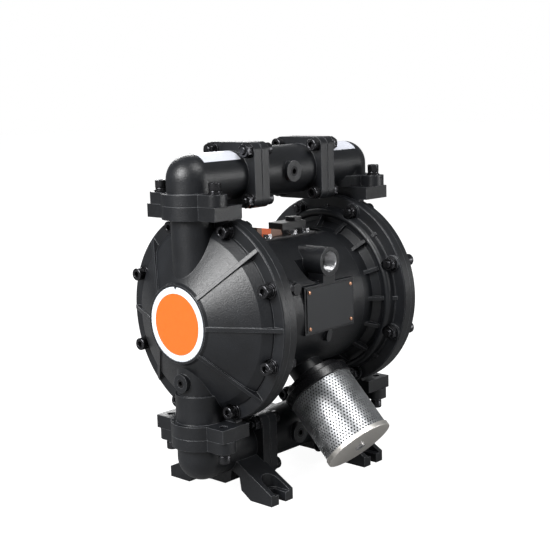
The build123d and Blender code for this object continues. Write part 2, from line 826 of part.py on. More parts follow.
# ---------------------------------------------------------------- elbows
# Cast elbows bolt on the ends of the columns.  The outlet elbows hold the upper balls;
# the inlet elbows stand on a foot in front and one behind.
def joint_outline():
    """Square flange with rounded corners, its bore left to the caller."""
    RectangleRounded(2 * joint_half, 2 * joint_half, joint_corner)


def elbow(side, z_joint, z_pipe, chamber, leg):
    """Elbow casting: column flange, domed corner, pipe, square joint flange and its leg."""
    up = 1 if z_pipe > z_joint else -1
    length = column_x - joint_x - gasket_thickness / 2
    column = Plane(origin=(side * column_x, 0, z_joint))
    along = Plane(origin=(side * column_x, 0, z_pipe), x_dir=(0, 1, 0), z_dir=(-side, 0, 0))
    with BuildPart() as casting:
        with BuildSketch(column):
            with Locations((side * (bolt_x - column_x), 0)):
                RectangleRounded(ear_depth, 2 * (ear_half + ear_margin), ear_corner)
            Circle(bulge_radius)
        extrude(amount=up * elbow_plate)
        with BuildSketch(column):
            Circle(pipe_radius)
        extrude(amount=up * pipe_rise)
        with Locations((side * column_x, 0, z_pipe)):
            Sphere(pipe_radius)
        with BuildSketch(along):
            Circle(pipe_radius)
        extrude(amount=length)
        with BuildSketch(along.offset(length)):
            joint_outline()
        extrude(amount=-joint_plate)
        if leg is not None:
            add(leg)
        # liquid way, with a recess for the ball seat
        with BuildSketch(column):
            Circle(chamber)
        extrude(amount=up * pipe_rise, mode=Mode.SUBTRACT)
        with Locations((side * column_x, 0, z_pipe)):
            Sphere(chamber, mode=Mode.SUBTRACT)
        with BuildSketch(along):
            Circle(pipe_bore)
        extrude(amount=length, mode=Mode.SUBTRACT)
        with BuildSketch(column):
            Circle(seat_outer + fit)
        extrude(amount=up * seat_height / 2, mode=Mode.SUBTRACT)
        # screw holes of the two flanges
        with BuildSketch(column):
            with Locations(*[(side * x, y) for x, y in column_bolt_places()]):
                Circle(screw_radius + hole_clearance)
        extrude(amount=up * elbow_plate, mode=Mode.SUBTRACT)
        with BuildSketch(along.offset(length)):
            with GridLocations(joint_pitch, joint_pitch, 2, 2):
                Circle(screw_radius + hole_clearance / 2)
        extrude(amount=-joint_plate, mode=Mode.SUBTRACT)
    return casting.part


for name, side in sides.items():
    with BuildPart() as outlet_elbow:
        add(elbow(side, top_joint, top_pipe, ball_chamber, None))
        # stop that keeps the ball in the column
        stop_z = top_ball + ball_travel + ball_radius + 2 * free
        with BuildSketch(Plane(origin=(side * column_x, 0, stop_z))):
            Circle(stop_radius)
        extrude(amount=top_pipe + pipe_radius - stop_root - stop_z)
    save(outlet_elbow.part, "outlet_elbow_" + name)

    # one leg under the pipe makes both feet, arched between the pads
    foot_inner = foot_x - foot_width / 2
    root_z = low_pipe - foot_root_drop
    with BuildPart() as leg:
        with BuildSketch(Plane(origin=(side * foot_inner, 0, 0), x_dir=(0, 1, 0), z_dir=(1, 0, 0))):
            with BuildLine():
                Polyline(
                    (-front_reach, 0),
                    (-front_reach, foot_toe),
                    (-foot_root, root_z),
                    (foot_root, root_z),
                    (back_reach, foot_toe),
                    (back_reach, 0),
                    (back_reach - pad_length, 0),
                    (back_reach - heel_length, heel_height),
                    (arch_half, arch_height),
                    *front_web,
                    (-front_reach + pad_length, 0),
                    close=True,
                )
            make_face()
        extrude(amount=side * foot_width)
        # open slots for the floor bolts, with a pocket for each bolt head above
        for y, inwards in ((-front_reach, 1), (back_reach, -1)):
            slot_end = y + inwards * slot_length
            with BuildSketch(Plane.XY):
                with Locations((side * foot_x, (y + slot_end) / 2)):
                    Rectangle(slot_width, slot_length)
                with Locations((side * foot_x, slot_end)):
                    Circle(slot_width / 2)
            extrude(amount=2 * foot_toe, mode=Mode.SUBTRACT)
            with BuildSketch(Plane.XY.offset(slot_floor)):
                with Locations((side * foot_x, slot_end)):
                    Circle(seat_pocket)
                with Locations((side * foot_x, (y + slot_end) / 2)):
                    Rectangle(2 * seat_pocket, slot_length)
            extrude(amount=2 * foot_toe, mode=Mode.SUBTRACT)
    save(elbow(side, low_joint, low_pipe, pipe_bore, leg.part), "inlet_elbow_" + name)

# ---------------------------------------------------------------- tees and their gaskets
# The tees join left and right.  Each has its liquid port behind and a plugged boss in front.
tees = {"outlet": top_pipe, "inlet": low_pipe}
for way, z_pipe in tees.items():
    half = joint_x - gasket_thickness / 2
    back = Plane(origin=(0, 0, z_pipe), x_dir=(1, 0, 0), z_dir=(0, 1, 0))
    front = Plane(origin=(0, 0, z_pipe), x_dir=(1, 0, 0), z_dir=(0, -1, 0))
    ends = Plane(origin=(-half, 0, z_pipe), x_dir=(0, 1, 0), z_dir=(1, 0, 0))
    with BuildPart() as tee:
        with BuildSketch(ends):
            Circle(tee_radius)
        extrude(amount=2 * half)
        for plane in (ends, ends.offset(2 * half - joint_plate)):
            with BuildSketch(plane):
                joint_outline()
            extrude(amount=joint_plate)
        with BuildSketch(back):
            Circle(liquid_boss_radius)
        extrude(amount=liquid_boss_reach)
        with BuildSketch(front):
            Circle(tee_plug_radius)
        extrude(amount=tee_plug_reach)
        with BuildSketch(ends):
            Circle(pipe_bore)
        extrude(amount=2 * half, mode=Mode.SUBTRACT)
        with BuildSketch(back.offset(liquid_boss_reach)):
            Circle(liquid_port_radius)
        extrude(amount=-liquid_port_depth, mode=Mode.SUBTRACT)
        with BuildSketch(back):
            Circle(liquid_port_radius - port_step)
        extrude(amount=liquid_boss_reach, mode=Mode.SUBTRACT)
        with BuildSketch(front):
            Circle(tee_plug_radius / 2)
        extrude(amount=tee_plug_reach, mode=Mode.SUBTRACT)
        with BuildSketch(ends):
            with GridLocations(joint_pitch, joint_pitch, 2, 2):
                Circle(screw_radius + hole_clearance)
        extrude(amount=2 * half, mode=Mode.SUBTRACT)
    save(tee.part, way + "_tee")

with BuildPart() as joint_gaskets:
    for z_pipe in tees.values():
        for side in (-1, 1):
            with BuildSketch(Plane(origin=(side * joint_x - gasket_thickness / 2, 0, z_pipe),
                                   x_dir=(0, 1, 0), z_dir=(1, 0, 0))):
                RectangleRounded(2 * joint_half - rim_edge, 2 * joint_half - rim_edge, joint_corner)
                Circle(pipe_bore, mode=Mode.SUBTRACT)
                with GridLocations(joint_pitch, joint_pitch, 2, 2):
                    Circle(screw_radius + hole_clearance, mode=Mode.SUBTRACT)
            extrude(amount=gasket_thickness)
save(joint_gaskets.part, "joint_gaskets")

with BuildPart() as tee_plugs:
    for z_pipe in tees.values():
        with BuildSketch(front_plane(z_pipe, tee_plug_reach)):
            Circle(tee_plug_radius / 2 - fit)
        extrude(amount=-tee_plug_length)
        with BuildSketch(front_plane(z_pipe, tee_plug_reach)):
            RegularPolygon(tee_plug_socket, 6)
        extrude(amount=-socket_depth, mode=Mode.SUBTRACT)
save(tee_plugs.part, "tee_plugs")

with BuildPart() as drain_plugs:
    for side in (-1, 1):
        boss_face = column_x + neck_radius + port_boss_rise
        with BuildSketch(end_plane(side * boss_face)):
            with Locations((0, -port_boss_drop)):
                Circle(port_boss_radius / 2 - fit)
        extrude(amount=-side * drain_plug_length)
        with BuildSketch(end_plane(side * boss_face)):
            with Locations((0, -port_boss_drop)):
                RegularPolygon(drain_socket, 6)
        extrude(amount=-side * socket_depth, mode=Mode.SUBTRACT)
save(drain_plugs.part, "drain_plugs")

# ---------------------------------------------------------------- valve on the platform
# The pilot block and its side cover stand on a gasket, held by hexagon screws.
platform_z = axis_height + top_platform
block_z = platform_z + valve_gasket
with BuildPart() as valve_gasket_sheet:
    with BuildSketch(Plane.XY.offset(platform_z)):
        Rectangle(valve_length, valve_depth)
        with Locations(*valve_screw_places):
            Circle(valve_screw + hole_clearance, mode=Mode.SUBTRACT)
    extrude(amount=valve_gasket)
save(valve_gasket_sheet.part, "valve_gasket")

with BuildPart() as valve_block:
    with BuildSketch(Plane.XY.offset(block_z)):
        Rectangle(valve_length, valve_depth)
    extrude(amount=valve_foot)
    with BuildSketch(Plane.XY.offset(block_z + valve_foot)):
        with Locations((tower_x, tower_y)):
            Rectangle(tower_length, tower_depth)
    extrude(amount=tower_height)
    chamfer(valve_block.edges().filter_by(Axis.Z).group_by(Axis.X)[-1], tower_edge)
    with BuildSketch(Plane.XY.offset(block_z + valve_foot + tower_height)):
        with Locations((tower_x + tower_length / 2 - knob_inset, tower_y)):
            RectangleRounded(*knob_size, knob_corner)
    extrude(amount=knob_height)
    # screw holes of the foot
    with BuildSketch(Plane.XY.offset(block_z)):
        with Locations(*valve_screw_places):
            Circle(valve_screw + hole_clearance)
    extrude(amount=valve_foot, mode=Mode.SUBTRACT)
save(valve_block.part, "pilot_valve_block")

with BuildPart() as valve_cover:
    with BuildSketch(front_plane(block_z + valve_foot, tower_depth / 2 - tower_y)):
        with BuildLine():
            Polyline(
                (cover_left, 0),
                (cover_left, cover_height),
                (cover_right - cover_slant, cover_height - cover_fall),
                (cover_right, cover_height - cover_fall - cover_shoulder),
                (cover_right, 0),
                close=True,
            )
        make_face()
    extrude(amount=-cover_depth)
save(valve_cover.part, "valve_cover")

with BuildPart() as valve_screws:
    with BuildSketch(Plane.XY.offset(block_z + valve_foot)):
        with Locations(*valve_screw_places):
            Circle(valve_washer)
    extrude(amount=valve_washer_height)
    with BuildSketch(Plane.XY.offset(block_z + valve_foot + valve_washer_height)):
        with Locations(*valve_screw_places):
            RegularPolygon(valve_head_flats / 2, 6, major_radius=False)
    extrude(amount=valve_head_height)
    with BuildSketch(Plane.XY.offset(block_z + valve_foot)):
        with Locations(*valve_screw_places):
            Circle(valve_screw)
    extrude(amount=-valve_screw_length)
save(valve_screws.part, "valve_screws")

# ---------------------------------------------------------------- muffler
# A perforated can on a plastic cap, screwed in the exhaust port and hung at 45 degrees.
cap_start = exhaust_face
can_start = cap_start + muffler_gap + muffler_cap_height
can_end = can_start + muffler_length
with BuildPart() as muffler_cap:
    with BuildSketch(muffler_plane(cap_start - muffler_neck)):
        Circle(muffler_thread - fit)
    extrude(amount=muffler_neck)
    with BuildSketch(muffler_plane(cap_start)):
        RegularPolygon(muffler_hex, 6, major_radius=False)
    extrude(amount=muffler_hex_height)
    with BuildSketch(muffler_plane(cap_start + muffler_hex_height)):
        Circle(muffler_radius - cap_inset)
    extrude(amount=muffler_neck_height - muffler_hex_height)
    with BuildSketch(muffler_plane(cap_start + muffler_neck_height)):
        Circle(muffler_radius + cap_overhang)
    extrude(amount=can_start - cap_start - muffler_neck_height)
    fillet(muffler_cap.edges().filter_by(GeomType.CIRCLE).sort_by(SortBy.RADIUS)[-2:], rim_edge)
    with BuildSketch(muffler_plane(cap_start - muffler_neck)):
        Circle(muffler_thread - end_fold)
    extrude(amount=muffler_neck + muffler_cap_height - muffler_gap, mode=Mode.SUBTRACT)
save(muffler_cap.part, "muffler_cap")

with BuildPart() as muffler_screen:
    with BuildSketch(muffler_plane(can_start)):
        Circle(muffler_radius)
        Circle(muffler_radius - screen_wall, mode=Mode.SUBTRACT)
    extrude(amount=muffler_length)
save(muffler_screen.part, "muffler_screen")

with BuildPart() as muffler_end_cap:
    with BuildSketch(muffler_plane(can_end - end_fold)):
        Circle(muffler_radius + end_overhang)
    extrude(amount=muffler_end)
    with BuildSketch(muffler_plane(can_end - end_fold)):
        Circle(muffler_radius + fit)
    extrude(amount=end_fold, mode=Mode.SUBTRACT)
    fillet(muffler_end_cap.edges().filter_by(GeomType.CIRCLE).sort_by(SortBy.RADIUS)[-1:], end_round)
    with BuildSketch(muffler_plane(can_end)):
        Circle(muffler_bolt + hole_clearance)
    extrude(amount=muffler_end, mode=Mode.SUBTRACT)
save(muffler_end_cap.part, "muffler_end_cap")

with BuildPart() as muffler_stud:
    with BuildSketch(muffler_plane(can_start)):
        Circle(muffler_bolt)
    extrude(amount=can_end + muffler_end - end_fold - can_start)
    with BuildSketch(muffler_plane(can_end + muffler_end - end_fold)):
        Circle(muffler_bolt + bolt_head_over)
        RegularPolygon(bolt_socket, 6, mode=Mode.SUBTRACT)
    extrude(amount=bolt_head_height)
save(muffler_stud.part, "muffler_bolt")

# ---------------------------------------------------------------- badges and name plate
for name, side in sides.items():
    with BuildPart() as badge:
        with BuildSketch(end_plane(side * (hub_x - badge_recess))):
            Circle(hub_radius - hub_lip - free)
        extrude(amount=side * badge_thickness)
        fillet(badge.edges().group_by(Axis.X)[-1 if side > 0 else 0], badge_round)
    save(badge.part, "badge_" + name)

rivet_dx = name_width / 2 - rivet_inset
rivet_dz = name_height / 2 - rivet_inset
name_front = front_plane(name_z, plate_face)
with BuildPart() as name_plate:
    with BuildSketch(name_front):
        RectangleRounded(name_width, name_height, rim_edge)
    extrude(amount=name_thickness)
save(name_plate.part, "name_plate")

with BuildPart() as rivets:
    with BuildSketch(name_front.offset(name_thickness)):
        with GridLocations(2 * rivet_dx, 2 * rivet_dz, 2, 2):
            Circle(rivet_radius)
    extrude(amount=rivet_height)
    fillet(rivets.edges().group_by(Axis.Y)[0], rivet_round)
save(rivets.part, "name_plate_rivets")

# ---------------------------------------------------------------- chamber screws
# Each rim has eight socket head screws with a flat and a spring washer, and nuts behind.
for name, side in sides.items():
    head_seat = flange_x + washer_thickness + spring_washer
    nut_seat = back_x - boss_rise
    with BuildPart() as chamber_screws:
        with BuildSketch(end_plane(side * head_seat)):
            with PolarLocations(bolt_circle, chamber_bolts, start_angle=first_bolt):
                Circle(head_radius)
        extrude(amount=side * head_height)
        with BuildSketch(end_plane(side * (nut_seat - nut_height - thread_past_nut))):
            with PolarLocations(bolt_circle, chamber_bolts, start_angle=first_bolt):
                Circle(screw_radius)
        extrude(amount=side * (head_seat - nut_seat + nut_height + thread_past_nut))
    save(chamber_screws.part, "chamber_screws_" + name)

    with BuildPart() as chamber_washers:
        with BuildSketch(end_plane(side * flange_x)):
            with PolarLocations(bolt_circle, chamber_bolts, start_angle=first_bolt):
                Circle(washer_radius)
                Circle(screw_radius + hole_clearance, mode=Mode.SUBTRACT)
        extrude(amount=side * washer_thickness)
        with BuildSketch(end_plane(side * (flange_x + washer_thickness))):
            with PolarLocations(bolt_circle, chamber_bolts, start_angle=first_bolt):
                Circle(spring_washer_radius)
                Circle(screw_radius + hole_clearance, mode=Mode.SUBTRACT)
        extrude(amount=side * spring_washer)
    save(chamber_washers.part, "chamber_washers_" + name)

    with BuildPart() as chamber_nuts:
        with BuildSketch(end_plane(side * nut_seat)):
            with PolarLocations(bolt_circle, chamber_bolts, start_angle=first_bolt):
                RegularPolygon(nut_flats / 2, 6, major_radius=False)
                Circle(screw_radius + fit, mode=Mode.SUBTRACT)
        extrude(amount=-side * nut_height)
    save(chamber_nuts.part, "chamber_nuts_" + name)

# ---------------------------------------------------------------- column screws
# Two socket head screws hold each elbow on its column, from above or from below.
for way, (z_joint, z_ball) in joints.items():
    up = 1 if way == "outlet" else -1
    seat_z = z_joint + up * elbow_plate
    with BuildPart() as column_screws:
        for side in (-1, 1):
            places = [(side * bolt_x, -bolt_y), (side * bolt_x, bolt_y)]
            with BuildSketch(Plane.XY.offset(seat_z)):
                with Locations(*places):
                    Circle(washer_radius - rim_edge)
            extrude(amount=up * washer_thickness)
            with BuildSketch(Plane.XY.offset(seat_z + up * washer_thickness)):
                with Locations(*places):
                    Circle(head_radius - hole_clearance)
            extrude(amount=up * (head_height + spring_washer))
            with BuildSketch(Plane.XY.offset(seat_z)):
                with Locations(*places):
                    Circle(screw_radius)
            extrude(amount=-up * (elbow_plate + cap_plate - rim_edge))
    save(column_screws.part, way + "_column_screws")

# ---------------------------------------------------------------- joint screws
# Four socket head screws per tee joint, their heads on the tee and nuts on the elbow.  The
# lower ones of the inlet joints are screwed into the casting of the feet.
tee_face = joint_x - gasket_thickness / 2 - joint_plate
elbow_face = joint_x + gasket_thickness / 2 + joint_plate
for way, z_pipe in tees.items():
    with BuildPart() as joint_screws:
        for side in (-1, 1):
            tee_side = Plane(origin=(side * tee_face, 0, z_pipe), x_dir=(0, 1, 0), z_dir=(1, 0, 0))
            elbow_side = tee_side.offset(side * (elbow_face - tee_face))
            with BuildSketch(tee_side):
                with GridLocations(joint_pitch, joint_pitch, 2, 2):
                    Circle(head_radius)
            extrude(amount=-side * head_height)
            with BuildSketch(tee_side):
                with GridLocations(joint_pitch, joint_pitch, 2, 2):
                    Circle(screw_radius)
            extrude(amount=side * (elbow_face - tee_face))
            with BuildSketch(elbow_side):
                with Locations(*nut_places[way]):
                    Circle(screw_radius)
            extrude(amount=side * (nut_height + washer_thickness + joint_thread_past))
    save(joint_screws.part, way + "_joint_screws")

    with BuildPart() as joint_nuts:
        for side in (-1, 1):
            elbow_side = Plane(origin=(side * elbow_face, 0, z_pipe), x_dir=(0, 1, 0), z_dir=(1, 0, 0))
            with BuildSketch(elbow_side):
                with Locations(*nut_places[way]):
                    Circle(washer_radius)
                    Circle(screw_radius + fit, mode=Mode.SUBTRACT)
            extrude(amount=side * washer_thickness)
            with BuildSketch(elbow_side.offset(side * washer_thickness)):
                with Locations(*nut_places[way]):
                    RegularPolygon(nut_flats / 2, 6, major_radius=False)
                    Circle(screw_radius + fit, mode=Mode.SUBTRACT)
            extrude(amount=side * nut_height)
    save(joint_nuts.part, way + "_joint_nuts")
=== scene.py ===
"""Looks of an air operated double diaphragm pump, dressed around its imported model.

Metres, +Z up.  The rod lies along X, the name plate faces -Y, the liquid ports face +Y.
Pieces made here are worked out in millimetres and put into their meshes in metres.
"""

from math import cos, pi, radians, sin

import bmesh
import bpy
import numpy as np
from mathutils import Matrix, Vector


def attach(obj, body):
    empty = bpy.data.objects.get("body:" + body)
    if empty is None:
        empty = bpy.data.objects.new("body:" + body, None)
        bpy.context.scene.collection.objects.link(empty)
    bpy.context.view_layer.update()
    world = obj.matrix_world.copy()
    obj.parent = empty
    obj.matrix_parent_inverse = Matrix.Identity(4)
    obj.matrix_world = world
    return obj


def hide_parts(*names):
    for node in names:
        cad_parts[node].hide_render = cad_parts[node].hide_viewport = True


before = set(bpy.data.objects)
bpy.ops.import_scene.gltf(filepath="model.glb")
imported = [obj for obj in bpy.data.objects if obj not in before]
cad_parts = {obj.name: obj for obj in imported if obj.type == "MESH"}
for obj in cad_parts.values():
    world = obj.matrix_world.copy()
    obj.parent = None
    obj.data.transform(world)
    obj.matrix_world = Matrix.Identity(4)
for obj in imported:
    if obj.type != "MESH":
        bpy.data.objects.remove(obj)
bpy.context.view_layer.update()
scene = bpy.context.scene

# ---------------------------------------------------------------- studio
# A white room with a pale floor: a soft box high on the left, weaker ones overhead in
# front, low on the right and behind, and a dim, slightly cool surround.  The camera stands
# in front on the left and looks down a little.
LAMP_AIM = (0.0, 0.0, 0.18)
WHITE = (1.0, 1.0, 1.0, 1.0)
AIR_TINT, AIR_STRENGTH = (0.94, 0.97, 1.0, 1.0), 0.20
FLOOR_HALF, FLOOR_GREY, FLOOR_GLOW = 9.0, (0.24, 0.24, 0.24, 1.0), 0.955
LENS_MM, SENSOR_MM = 72.86, 36.0
CAMERA_PLACE = (-0.8602, -0.7957, 0.4139)
CAMERA_AHEAD = (0.7235, 0.6700, -0.16646)
CAMERA_TILT = -1.616


def node(tree, kind, inputs=None, **settings):
    """Adds a shader node; an input is a value or another node's socket."""
    made = tree.nodes.new(kind)
    for key, value in settings.items():
        setattr(made, key, value)
    for key, value in (inputs or {}).items():
        if isinstance(value, bpy.types.NodeSocket):
            tree.links.new(value, made.inputs[key])
        else:
            made.inputs[key].default_value = value
    return made


def maths(tree, operation, first, second=0.0):
    """Result of one sum on two values."""
    return node(tree, "ShaderNodeMath", {0: first, 1: second}, operation=operation).outputs[0]


def soft_box(name, place, size, power):
    """Square area lamp at place, turned to the middle of the pump."""
    lamp = bpy.data.lights.new(name, "AREA")
    lamp.shape = "SQUARE"
    lamp.size = size
    lamp.energy = power
    thing = bpy.data.objects.new(name, lamp)
    thing.location = place
    thing.rotation_euler = (Vector(LAMP_AIM) - Vector(place)).to_track_quat("-Z", "Y").to_euler()
    scene.collection.objects.link(thing)


soft_box("left_lamp", place=(-2.05, 0.12, 1.42), size=1.2, power=88.0)
soft_box("front_lamp", place=(-0.10, -1.20, 2.00), size=0.9, power=22.0)
soft_box("fill_lamp", place=(1.20, -1.85, 0.45), size=0.8, power=14.0)
soft_box("back_lamp", place=(1.3, 1.9, 1.3), size=1.0, power=26.0)

world = bpy.data.worlds.new("studio_air")
scene.world = world
world.use_nodes = True
air = world.node_tree
air.nodes.clear()
ray = node(air, "ShaderNodeLightPath")
seen = maths(air, "MAXIMUM", ray.outputs["Is Camera Ray"], ray.outputs["Is Transmission Ray"])
surround = node(air, "ShaderNodeBackground", {"Color": AIR_TINT, "Strength": AIR_STRENGTH})
backdrop = node(air, "ShaderNodeBackground", {"Color": WHITE, "Strength": 1.0})
mixed = node(air, "ShaderNodeMixShader", {0: seen, 1: surround.outputs[0], 2: backdrop.outputs[0]})
node(air, "ShaderNodeOutputWorld", {"Surface": mixed.outputs[0]})

floor_corners = [(x * FLOOR_HALF, y * FLOOR_HALF, 0) for x, y in ((-1, -1), (1, -1), (1, 1), (-1, 1))]
floor_mesh = bpy.data.meshes.new("studio_floor")
floor_mesh.from_pydata(floor_corners, [], [(0, 1, 2, 3)])
studio_floor = bpy.data.objects.new("studio_floor", floor_mesh)
scene.collection.objects.link(studio_floor)
paper = bpy.data.materials.new("studio_paper")
paper.use_nodes = True
tree = paper.node_tree
tree.nodes.clear()
ray = node(tree, "ShaderNodeLightPath")
matt = node(tree, "ShaderNodeBsdfDiffuse", {"Color": FLOOR_GREY})
glow = node(tree, "ShaderNodeEmission", {"Strength": FLOOR_GLOW})
dark = node(tree, "ShaderNodeEmission", {"Strength": 0.0})
shown = node(
    tree, "ShaderNodeMixShader", {0: ray.outputs["Is Camera Ray"], 1: dark.outputs[0], 2: glow.outputs[0]}
)
both = node(tree, "ShaderNodeAddShader", {0: matt.outputs[0], 1: shown.outputs[0]})
node(tree, "ShaderNodeOutputMaterial", {"Surface": both.outputs[0]})
floor_mesh.materials.append(paper)

camera = bpy.data.cameras.new("camera")
camera.lens = LENS_MM
camera.sensor_width = SENSOR_MM
camera_holder = bpy.data.objects.new("camera", camera)
scene.collection.objects.link(camera_holder)
ahead = Vector(CAMERA_AHEAD).normalized()
level = ahead.cross(Vector((0, 0, 1))).normalized()
upward = level.cross(ahead)
tilt = radians(CAMERA_TILT)
across = level * cos(tilt) + upward * sin(tilt)
above = upward * cos(tilt) - level * sin(tilt)
camera_turn = Matrix((across, above, -ahead)).transposed()
camera_holder.matrix_world = Matrix.LocRotScale(Vector(CAMERA_PLACE), camera_turn, None)
scene.camera = camera_holder
scene.view_settings.view_transform = "Standard"

# ---------------------------------------------------------------- castings
# Sand-cast aluminium, shot-blasted and powder coated in a satin black with a fine grain.
# The sharp edges carry a painted highlight: a much paler colour along them, broken up by the mottle.
BLACK_DEEP = (0.0060, 0.0066, 0.0080, 1.0)
BLACK_PALE = (0.0098, 0.0108, 0.0130, 1.0)
# Colour of the painted highlight along the sharp edges.
BLACK_EDGE_HIGHLIGHT = (0.190, 0.196, 0.208, 1.0)
GRAIN_SMOOTHER, GRAIN_ROUGHER, GRAIN_STRENGTH = 0.06, 0.08, 0.55
# Where the painted edge highlight starts and is full, and the least share of it that the mottle leaves.
EDGE_STARTS, EDGE_FULL, HIGHLIGHT_LEAST = 0.96, 0.80, 0.35


def blend(tree, share, one, other):
    """Colour that goes from one to the other while share goes from 0 to 1."""
    return node(tree, "ShaderNodeMix", {0: share, 6: one, 7: other}, data_type="RGBA").outputs[2]


def spread(tree, value, low, high, start=0.3, end=0.7):
    """Goes from low to high while value goes from start to end, by default over the range
    that a noise mostly keeps to."""
    return node(tree, "ShaderNodeMapRange", {0: value, 1: start, 2: end, 3: low, 4: high}).outputs[0]


def noise(tree, scale, detail, stretch=(1, 1, 1), rough=0.5):
    """Noise at object coordinates times stretch, with about scale grains in a metre."""
    place = node(tree, "ShaderNodeTexCoord").outputs["Object"]
    drawn = node(tree, "ShaderNodeMapping", {"Vector": place, "Scale": stretch}).outputs[0]
    inputs = {"Vector": drawn, "Scale": scale, "Detail": detail, "Roughness": rough}
    return node(tree, "ShaderNodeTexNoise", inputs).outputs["Fac"]


def bump(tree, height, strength, distance, normal=None):
    """Normal of a relief whose height follows a value, laid over another normal if given."""
    inputs = {"Height": height, "Strength": strength, "Distance": distance}
    if normal is not None:
        inputs["Normal"] = normal
    return node(tree, "ShaderNodeBump", inputs).outputs[0]


def cast_skin_group():
    """Grain height, slow mottle, edge mask and rounded normal of a coated casting.  The mask
    is where the rounded normal leans away from the plain one, weakened unevenly by the
    mottle; it places a painted highlight along the edges."""
    group = bpy.data.node_groups.new("cast_skin", "ShaderNodeTree")
    for name, value in (("Grain Scale", 1100.0), ("Mottle Scale", 38.0), ("Edge Radius", 0.0011)):
        socket = group.interface.new_socket(name, in_out="INPUT", socket_type="NodeSocketFloat")
        socket.default_value = value
    for name in ("Grain", "Mottle", "Edge"):
        group.interface.new_socket(name, in_out="OUTPUT", socket_type="NodeSocketFloat")
    group.interface.new_socket("Rounded", in_out="OUTPUT", socket_type="NodeSocketVector")
    given = node(group, "NodeGroupInput")
    grain = noise(group, given.outputs["Grain Scale"], detail=2.0, rough=0.6)
    slow = noise(group, given.outputs["Mottle Scale"], detail=3.0)
    mottle = spread(group, slow, 0.0, 1.0, start=0.35, end=0.65)
    rounded = node(group, "ShaderNodeBevel", {"Radius": given.outputs["Edge Radius"]}, samples=6).outputs[0]
    plain = node(group, "ShaderNodeNewGeometry").outputs["Normal"]
    same = node(group, "ShaderNodeVectorMath", {0: rounded, 1: plain}, operation="DOT_PRODUCT")
    edge = spread(group, same.outputs["Value"], 0.0, 1.0, start=EDGE_STARTS, end=EDGE_FULL)
    # Painted highlight along the edges, broken up by the mottle: bare is its share at each place.
    bare = spread(group, mottle, HIGHLIGHT_LEAST, 1.0, start=0.0, end=1.0)
    edge_highlight = maths(group, "MULTIPLY", edge, bare)
    node(group, "NodeGroupOutput", {"Grain": grain, "Mottle": mottle, "Edge": edge_highlight, "Rounded": rounded})
    return group


def finish(name, shader):
    """New material with a Principled shader: returns the material, its tree and the shader."""
    made = bpy.data.materials.new(name)
    made.use_nodes = True
    made.node_tree.nodes.clear()
    bsdf = node(made.node_tree, "ShaderNodeBsdfPrincipled", shader)
    node(made.node_tree, "ShaderNodeOutputMaterial", {"Surface": bsdf.outputs[0]})
    return made, made.node_tree, bsdf


def wire(tree, bsdf, sources):
    """Links each source to the shader's socket of that name."""
    for socket, source in sources.items():
        tree.links.new(source, bsdf.inputs[socket])


def dress(material, *names):
    """Gives CAD nodes this material."""
    for name in names:
        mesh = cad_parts[name].data
        mesh.materials.clear()
        mesh.materials.append(material)


def both_sides(*names):
    """Names of the left and the right one of each."""
    return [name + side_name for name in names for side_name in ("_left", "_right")]


cast_skin = cast_skin_group()


def coated(name, deep, pale, edge, grain, depth, rough, radius):
    """Coat or moulding: colour from the mottle and a painted highlight in the colour edge along
    the edges, relief and gloss from the grain, and edges rounded by radius."""
    made, tree, bsdf = finish(name, {"Roughness": rough, "Specular IOR Level": 0.5})
    coat = node(tree, "ShaderNodeGroup", {}, node_tree=cast_skin)
    coat.inputs["Grain Scale"].default_value = grain
    coat.inputs["Edge Radius"].default_value = radius
    body = blend(tree, coat.outputs["Mottle"], deep, pale)
    wire(tree, bsdf, {
        # The colour edge is a painted highlight laid along the edges.
        "Base Color": blend(tree, coat.outputs["Edge"], body, edge),
        "Roughness": spread(tree, coat.outputs["Grain"], rough - GRAIN_SMOOTHER, rough + GRAIN_ROUGHER),
        "Normal": bump(tree, coat.outputs["Grain"], GRAIN_STRENGTH, depth, normal=coat.outputs["Rounded"]),
    })
    return made


powder_black = coated(
    "powder_black", BLACK_DEEP, BLACK_PALE, BLACK_EDGE_HIGHLIGHT, grain=760.0, depth=0.00034, rough=0.37, radius=0.0008
)
dress(powder_black, "center_body", "outlet_tee", "inlet_tee")
dress(powder_black, *both_sides("air_cap", "fluid_cap", "outlet_elbow", "inlet_elbow"))

# ---------------------------------------------------------------- chamber screws
# Eight M8 socket screws hold each pair of caps.  They are black-oxide alloy steel, with a
# knurled head, a hexagon socket and a rolled thread whose end shows past the nut.
SEGMENTS = 96
HEAD_R, HEAD_H, SHANK_R = 6.5, 8.0, 4.0
SOCKET_FLAT, SOCKET_DEEP, KNURL_DEEP = 3.0, 4.4, 0.14
THREAD_DEEP, THREAD_PITCH = 0.5, 1.25
TIP_CHAMFER = 0.6
RIM_SCREWS, RIM_R = 8, 97.5
NUT_H, NUT_FLAT = 6.5, 6.5
RIM_TIP_PAST, RIM_THREADED = 2.5, 4.0
LINES_SMOOTHER, LINES_ROUGHER, LINES_DEEP, METAL_EDGE = 0.75, 1.35, 0.00005, 0.00025
angles = np.arange(SEGMENTS) * (2 * pi / SEGMENTS)


def extent(name):
    """Lowest and highest corner of a CAD node in mm, to a hundredth."""
    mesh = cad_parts[name].data
    places = np.empty(len(mesh.vertices) * 3, np.float32)
    mesh.vertices.foreach_get("co", places)
    places = places.reshape(-1, 3).astype(float) * 1000.0
    return np.round(places.min(axis=0), 2), np.round(places.max(axis=0), 2)


def hexagon(flat):
    """Radius of a hexagon of half width flat at each angle: flat over cos of the folded angle."""
    return flat / np.cos((angles + pi / 6) % (pi / 3) - pi / 6)


def circle(radius):
    """The same radius at each angle."""
    return np.full(SEGMENTS, float(radius))


def knurl(radius):
    """Round head with fine ridges: every third ray lies a little deeper."""
    return np.where(np.arange(SEGMENTS) % 3 == 0, radius - KNURL_DEEP, radius)


